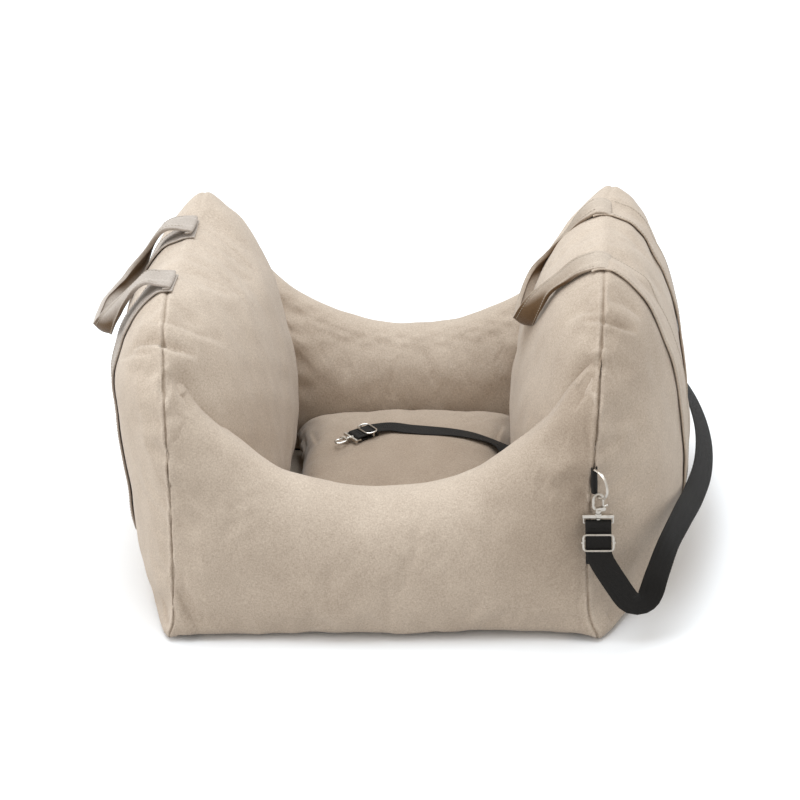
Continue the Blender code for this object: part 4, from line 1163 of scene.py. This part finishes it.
def stitches(name, lines, look, body, pitch=0.0034, radius=0.00032):
    """Short rounded threads along lines of (place, facing)."""
    angles = np.arange(STITCH_SIDES) * 2 * math.pi / STITCH_SIDES
    ring = np.array([(math.cos(a), math.sin(a)) for a in angles])
    shares = np.array((-0.5, -0.42, -0.2, 0.2, 0.42, 0.5))
    fullness = np.array((0.15, 0.7, 1, 1, 0.7, 0.15))
    verts, faces = [], []
    for line in lines:
        places, outs = (np.array([tuple(item[k]) for item in line]) for k in (0, 1))
        gone = distances(places)
        for middle in np.arange(pitch / 2, gone[-1], pitch):
            spot, out = (value_at(middle, gone, values) for values in (places, outs))
            along = value_at(min(middle + 0.001, gone[-1]), gone, places)
            along -= value_at(max(middle - 0.001, 0), gone, places)
            along = along / np.linalg.norm(along)
            out = out - along * (out @ along)
            out /= np.linalg.norm(out)
            side = np.cross(along, out)
            base = len(verts)
            for share, full in zip(shares, fullness):
                bow = (0.25 - share**2) * 4 * radius * 0.8
                centre = spot + along * (share * pitch * 0.72) + out * (bow - STITCH_SINK)
                verts += [tuple(centre + (side * c + out * s) * radius * full) for c, s in ring]
            for first in range(base, base + (len(shares) - 1) * STITCH_SIDES, STITCH_SIDES):
                for i in range(STITCH_SIDES):
                    a, b = first + i, first + (i + 1) % STITCH_SIDES
                    faces.append((a, b, b + STITCH_SIDES, a + STITCH_SIDES))
            faces.append(tuple(range(base, base + STITCH_SIDES))[::-1])
            faces.append(tuple(range(first + STITCH_SIDES, first + 2 * STITCH_SIDES)))
    mesh = bpy.data.meshes.new(name)
    mesh.from_pydata(verts, [], faces)
    mesh.shade_smooth()
    mesh.materials.append(look)
    piece = placed(name, mesh)
    set_tone(piece, np.full(len(verts), 0.5))
    if body:
        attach(piece, body)
    return piece


# Carry handles


def eased_rows(values, rounds):
    """Rows of points, each averaged with the rows before and after it."""
    for _ in range(rounds):
        values[1:-1] = values[1:-1] * 0.5 + (values[:-2] + values[2:]) * 0.25
    return values


def handle_leg(name, side, middle_y, wall_piece, cloth, seed):
    """A strap laid up the wall's outer face and over the ridge, its edges standing a little off it."""
    tree = tree_of(wall_piece)
    rim = np.linspace(0.86, 1, 5)
    across = np.concatenate((-rim[::-1], np.linspace(-0.7, 0.7, 9), rim))
    climb = [(up, OUTER_BULGE, side) for up in 1 - (1 - np.linspace(0, 0.985, 84)) ** 1.6]
    beyond = np.linspace(0.0002, 0.0012, 4) if side < 0 else np.linspace(0.0005, 0.008, 7)
    climb += [(1 - over, INNER_BULGE, -side) for over in beyond]
    found = []
    for up, bulge, way in climb:
        for share in across:
            y = middle_y + share * HANDLE_WIDTH / 2
            z = HANDLE_LEG_LOW + up * (float(wall_outline(np.array(y))) - HANDLE_LEG_LOW)
            reach = float(wall_reach(np.array(y), np.array(z), bulge))
            query = settled([(side * SEAM_X + way * (reach + 0.003), y, z + 0.001)], side)[0]
            found.append(tree.find_nearest(Vector(query))[:2])
    places, normals = (
        np.array([tuple(item[k]) for item in found]).reshape(len(climb), len(across), 3) for k in (0, 1)
    )
    places, normals = eased_rows(places, 3), eased_rows(normals, 12)
    normals /= np.linalg.norm(normals, axis=2, keepdims=True)
    edge = np.abs(across) ** 4
    sag = lumps(places.reshape(-1, 3), 0.055, seed).reshape(places.shape[:2]) * 0.0004
    crease = hump(across, 0.25, 0.07) * 0.0007 + hump(across, -0.35, 0.06) * 0.0006
    stitch = hump(np.abs(across), 0.80, 0.05) * 0.0005
    under = 0.0002 + 0.0014 * edge
    over = under + 0.0024 - 0.0006 * edge - crease - stitch
    rim = np.abs(across) > 0.995
    over = np.where(rim, (under + over) / 2, over)
    under = np.where(rim, over, under)
    grids = [places + normals * (h[None, :, None] + sag[:, :, None]) for h in (over, under)]
    piece = mesh_piece(name, grids, cloth, weld=0.00001, fill=True)
    refined(piece)
    points = points_of(piece)
    share = np.abs(points[:, 1] - middle_y) / (HANDLE_WIDTH / 2)
    # Paler towards the rims, and painted shade along the stitch grooves.
    worn = hump(share, 0.93, 0.05) * 0.08 - hump(share, 0.80, 0.03) * 0.08
    set_tone(piece, 0.5 + worn + lumps(points, 0.05, seed + 2) * 0.02)
    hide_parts(name)
    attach(piece, "seat")
    columns = [int(np.abs(across - value).argmin()) for value in (-0.80, 0.80)]
    lines = []
    for column in columns:
        tops = places[:, column] + normals[:, column] * (over[column] + 0.0002 + sag[:, column, None])
        lines.append(seam_of(tops[2:-9], normals[2:-9, column]))
    crossed = slice(columns[0], columns[1] + 1)
    foot = places[3, crossed] + normals[3, crossed] * (over[crossed] + 0.0003)[:, None]
    return lines + [seam_of(foot, normals[3, crossed])]


def handle_start(side, y):
    """How a loop comes out of its leg at the ridge: folded back on the left, straight on the right."""
    ridge = ridge_place(side, y)
    if side > 0:
        spots = ((0.0070, -0.0005), (0.0035, 0.0018), (0.0, 0.0040))
        return [(ridge + Vector((x, 0, z)), Vector((x * 30, 0, 1)).normalized()) for x, z in spots]
    radius = 0.0022
    centre = ridge + Vector((0.0014, 0, 0.0040 + radius))
    line = [(centre + Vector((-0.006, 0, -radius)), Vector((0, 0, -1)))]
    for angle in np.linspace(-math.pi / 2, math.pi / 2, 9):
        out = Vector((math.cos(angle), 0, math.sin(angle)))
        line.append((centre + out * radius, out))
    return line


def bend_at_root(piece):
    """Bakes a piece's placement into its mesh."""
    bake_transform(piece)


def handle_loop(name, side, route, cloth, seed):
    """The loop: doubled cloth with its edges sewn in, arched across and on edge at the grip."""
    first, last = [handle_start(side, y) for y in HANDLE_ENDS[side]]
    root = first[-1][0]
    line = eased([first[-1]] + as_vectors(route) + [last[-1]], 0.0035)
    places, sides, outs = strap_frames(first[:-1] + line + last[-2::-1])
    gone = distances(places)
    share = gone / gone[-1]
    middle = np.sin(np.pi * share) ** 2
    gathered = smooth(np.clip(np.sin(np.pi * share) * 1.5, 0, 1))
    wide = (HANDLE_WIDTH + (HANDLE_GRIP_WIDTH - HANDLE_WIDTH) * gathered)[:, None]
    curl = (0.06 + 0.62 * np.sin(np.pi * share) ** 0.9)[:, None]
    rim = np.linspace(0.82, 1, 6)
    across = np.concatenate((-rim[::-1], np.linspace(-0.66, 0.66, 9), rim))[None, :]
    angle = across * curl
    flat = np.sin(angle) / curl * wide / 2
    sunk = (np.cos(angle) - 1) / curl * wide / 2
    bead = hump(np.abs(across), 0.90, 0.09) * 0.0022 * np.minimum(1, middle * 6)[:, None]
    thick = 0.0024 + 0.0016 * middle[:, None] + bead
    warp = lumps(places, 0.03, seed)[:, None] * 0.0006
    warp = warp + lumps(places, 0.06, seed + 1)[:, None] * across * 0.0014
    warp = warp * np.minimum(1, middle * 5)[:, None]
    stitch = hump(np.abs(across), 0.74, 0.05) * 0.0005
    sides_in, outs_in = sides[:, None], outs[:, None]
    out = outs_in * np.cos(angle)[:, :, None] + sides_in * np.sin(angle)[:, :, None]
    base = places[:, None] + sides_in * flat[:, :, None] + outs_in * (sunk + warp)[:, :, None]
    half = np.where(np.abs(across) > 0.995, 0, thick / 2 - stitch)[:, :, None]
    piece = mesh_piece(name, [base + out * half, base - out * half], cloth, weld=0.00001, fill=True)
    refined(piece)
    points = points_of(piece)
    lie = np.abs(near_frames(points, places, sides)) / (HANDLE_GRIP_WIDTH / 2)
    # Painted shade: faces that turn down, below the ridge, are darker.
    down = np.clip((0.55 - normals_of(piece)[:, 2]) / 0.6, 0, 1)
    down *= np.clip((root.z - points[:, 2]) / 0.03, 0, 1)
    tone = 0.47 + hump(lie, 0.95, 0.1) * 0.08 + lumps(points, 0.04, seed + 4) * 0.02
    # Painted shade: the right loop darkens away from its root at the ridge.
    if side > 0:
        far = np.linalg.norm(points[:, [0, 2]] - [root.x, root.z], axis=1)
        tone -= 0.19 * (1 - hump(far, 0, 0.028))
    set_tone(piece, tone - 0.46 * down)
    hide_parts(name)
    bend_at_root(piece)
    lines = []
    skip = 5 if side > 0 else 12
    for value in (-0.74, 0.74):
        column = int(np.abs(across[0] - value).argmin())
        tops = base[:, column] + out[:, column] * (half[:, column] + 0.0002)
        lines.append(seam_of(tops[skip:-skip], out[skip:-skip, column]))
    return lines


# Webbing: tether and leash


def tether(webbing, thread):
    upright = Matrix.Identity(3)
    turned = Matrix.Rotation(math.pi, 3, "Z")
    front = eye_turn(1.0, FRONT_EYE, upright, SLIDER_DROP + SLIDER_HALF + TAIL_LENGTH)
    rear = eye_turn(1.0, REAR_EYE, turned, SLIDER_DROP)[::-1]
    middle = eased([front[-1]] + as_vectors(TETHER_ROUTE) + [rear[0]], 0.005)
    strap = webbing_strap("tether", middle, webbing)
    turns = [
        webbing_strap("tether_front_turn", front, webbing),
        webbing_strap("tether_rear_turn", rear, webbing),
    ]
    for piece in [strap] + turns:
        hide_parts("tether_strap")
        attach(piece, "seat")
    box = [((x, -0.0050), (x, -0.0095)) for x in (-0.0105, 0.0105)]
    box += [((-0.0105, z), (0.0105, z)) for z in (-0.0052, -0.0092)]
    lines = sewn_below(FRONT_EYE, upright, EYE_LANE + 0.0009, box)
    lines += sewn_below(REAR_EYE, turned, EYE_LANE + 0.0009, box)
    stitches("tether_stitches", lines, thread, "seat", 0.0026, 0.0003)


def sewn_below(eye, turn, reach, rows):
    """Lines of stitches on the webbing below an eye, each given by the x and z of its ends."""
    facing = turn @ Vector((0, -1, 0))
    return [[(eye + turn @ Vector((x, -reach, z)), facing) for x, z in row] for row in rows]


def ring_tab(name, facing, webbing):
    place = Vector((TAB_PLACE.x, TAB_PLACE.y * facing, TAB_PLACE.z))
    reach = RING_WIRE + 0.0003 + WEBBING_THICKNESS / 2
    side = Vector((1, 0, 0))
    roots = [place + side * (reach * k) - Vector((0, TAB_ROOT * facing, 0)) for k in (1, -1)]
    line = [(roots[0].lerp(place + side * reach, k / 5), side) for k in range(5)]
    for i in range(11):
        angle = math.pi * i / 10
        out = Vector((math.cos(angle), math.sin(angle) * facing, 0))
        line.append((place + out * reach, out))
    line += [((place - side * reach).lerp(roots[1], k / 5), -side) for k in range(1, 6)]
    piece = webbing_strap(name, line, webbing, TAB_WIDTH)
    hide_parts(name)
    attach(piece, "seat")


def leash(webbing, thread, right_wall):
    share = LEASH_SHARE
    width = WEBBING_WIDTH * share
    down = Vector((0, 0, -1))
    turn = Matrix((down.cross(LEASH_AIM), down, LEASH_AIM)).transposed()
    stop = eye_turn(share, LEASH_EYE, turn, (SLIDER_DROP + SLIDER_HALF) * share)[::-1]
    tree = tree_of(right_wall)
    root = []
    for y in (-0.1380, -0.1250):
        reach = float(wall_reach(np.array(y), np.array(0.1), INNER_BULGE))
        place, normal, _, _ = tree.find_nearest(Vector((SEAM_X - reach, y, 0.1)))
        root.append((place + normal * 0.0024, normal))
    (low, _), (high, off) = root
    along = (high - low).normalized()
    anchor = [(low.lerp(high, k / 4), off) for k in range(5)]
    anchor = webbing_strap("leash_anchor", anchor, webbing, width, ANCHOR_THICKNESS)
    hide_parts("leash_anchor")
    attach(anchor, "seat")
    starts = [(high + along * reach, off) for reach in (0.0006, width / 2)]
    line = starts[:1] + eased(starts[1:] + as_vectors(LEASH_ROUTE) + [stop[0]], 0.004)
    strap = webbing_strap("leash", line, webbing, width)
    loop = webbing_strap("leash_turn", stop, webbing, width)
    for piece in (strap, loop):
        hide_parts("leash_strap")
    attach(loop, "base_cushion")
    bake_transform(strap)
    reach = EYE_LANE * share + (1 - share) * (0.0003 + WEBBING_THICKNESS / 2) + 0.0009
    rows = [((-0.0082, z), (0.0082, z)) for z in (-0.0045, -0.0080)]
    lines = sewn_below(LEASH_EYE, turn, reach, rows)
    stitches("leash_stitches", lines, thread, "base_cushion", 0.0024, 0.00028)
    side = along.cross(off).normalized() * width * 0.4
    low, high = (place + off * 0.0016 for place in (low, high))
    lines = [[(low + side * way, off), (high + side * way, off)] for way in (-1, 1)]
    for end in (0.12, 0.88):
        spot = low.lerp(high, end)
        lines.append([(spot - side, off), (spot + side, off)])
    stitches("anchor_stitches", lines, thread, "seat", 0.0026, 0.0003)


# Floor cloth and underside


def foot_outline():
    """The foot of all four pillows, drawn in a little."""
    steps = np.linspace(-1, 1, 60, endpoint=False)
    front = SEAM_Y + BOLSTER_BELLY * (1 - steps**2)
    front = front + (SEAM_Y - front) * np.abs(steps) ** 6 - END_MARGIN
    side = OUTER_BULGE * wall_swell(steps, np.zeros(60)) * 0.97
    edge = SEAM_X - SIDE_MARGIN
    x = np.concatenate((steps * edge, edge + side, -steps * edge, -edge - side * 0.77))
    ends = steps * (SEAM_Y - END_MARGIN)
    y = np.concatenate((-front, ends, front, -ends))
    return np.stack((x, y), axis=1)


def flat_cloth(name, outline, low, high, look, slot, seed):
    """A thin cloth panel, drawn in rings towards its middle."""
    rings = [1, 0.998, 0.985, 0.95, 0.9, 0.8, 0.65, 0.5, 0.35, 0.2, 0.08, 0.0]
    closed = np.concatenate((outline, outline[:1]))
    column = np.ones((len(closed), 1))
    grids = []
    for level in (high, low):
        heights = [(low + high) / 2] + [level] * (len(rings) - 1)
        grids.append([np.hstack((closed * ring, column * z)) for ring, z in zip(rings, heights)])
    piece = mesh_piece(name, grids, look, weld=0.00001)
    points = points_of(piece)
    set_tone(piece, 0.5 + lumps(points, 0.05, seed) * 0.05)
    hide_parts(name)
    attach(piece, "seat")


def well_outline():
    """The well between the pillows, just under the edges of their feet."""
    y = np.linspace(-WELL_HALF, WELL_HALF, 61)
    x = SEAM_X - INNER_BULGE * wall_swell(y / SEAM_Y, np.zeros(61))
    across = np.linspace(x[0], -x[0], 40)[1:-1]
    x, y = np.append(x, across), np.append(y, np.full(38, WELL_HALF))
    half = np.stack((x, y), axis=1)
    return np.concatenate((half, -half))


# Everything, the camera and the cords first

make_camera()
make_stage()
beige = cloth_look("melange_beige", *BEIGE, 0.22)
taupe = cloth_look("melange_taupe", *TAUPE, 0.22, 0.75)
sand = cloth_look("melange_sand", *BEIGE, 0.22, 0.75)
thread = cloth_look("beige_thread", *THREAD, 0.1)
woven = webbing_look("woven_webbing")
dark_thread = webbing_look("black_thread")
nickel = metal_look()

tether(woven, dark_thread)
ring_tab("front_ring_tab", -1, woven)
ring_tab("rear_ring_tab", 1, woven)
left_wall = wall("left_wall", -1, LEFT_FOLDS, beige, 11)
right_wall = wall("right_wall", 1, RIGHT_FOLDS, beige, 23)
leash(woven, dark_thread, right_wall)
bolster("front_bolster", -1, BOLSTER_FOLDS, beige, 37)
bolster("back_bolster", 1, (), beige, 41)
cushion(beige)
sewn = []
for side_name, side, piece, look in (("left", -1, left_wall, taupe), ("right", 1, right_wall, beige)):
    for end, middle_y in zip(("front", "rear"), HANDLE_ENDS[side]):
        sewn += handle_leg(f"{side_name}_handle_{end}_leg", side, middle_y, piece, look, 70 + side)
stitches("leg_stitches", sewn, thread, "seat")
for body, side, route, look, seed in (
    ("left_handle", -1, LEFT_HANDLE_ROUTE, taupe, 81),
    ("right_handle", 1, RIGHT_HANDLE_ROUTE, sand, 87),
):
    lines = handle_loop(body + "_loop", side, route, look, seed)
    sewing = stitches(body + "_loop_stitches", lines, thread, None)
    bend_at_root(sewing)
flat_cloth("underside_panel", foot_outline(), *UNDERSIDE, backing_look(), "non_slip_cloth", 91)
flat_cloth("well_floor_cloth", well_outline(), *WELL_FLOOR, beige, "beige_cloth", 93)

board = board_look()
rounded = smooth_group()
for name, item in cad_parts.items():
    node = item if isinstance(item, bpy.types.Object) else bpy.data.objects.get(name)
    metal = any(word in name for word in ("ring", "hook", "slider")) and "tab" not in name
    if name != "base_board" and not metal:
        continue
    for spot in node.material_slots:
        spot.link = "OBJECT"
        spot.material = nickel if metal else board
    if metal:
        node.modifiers.new("rounded", "NODES").node_group = rounded
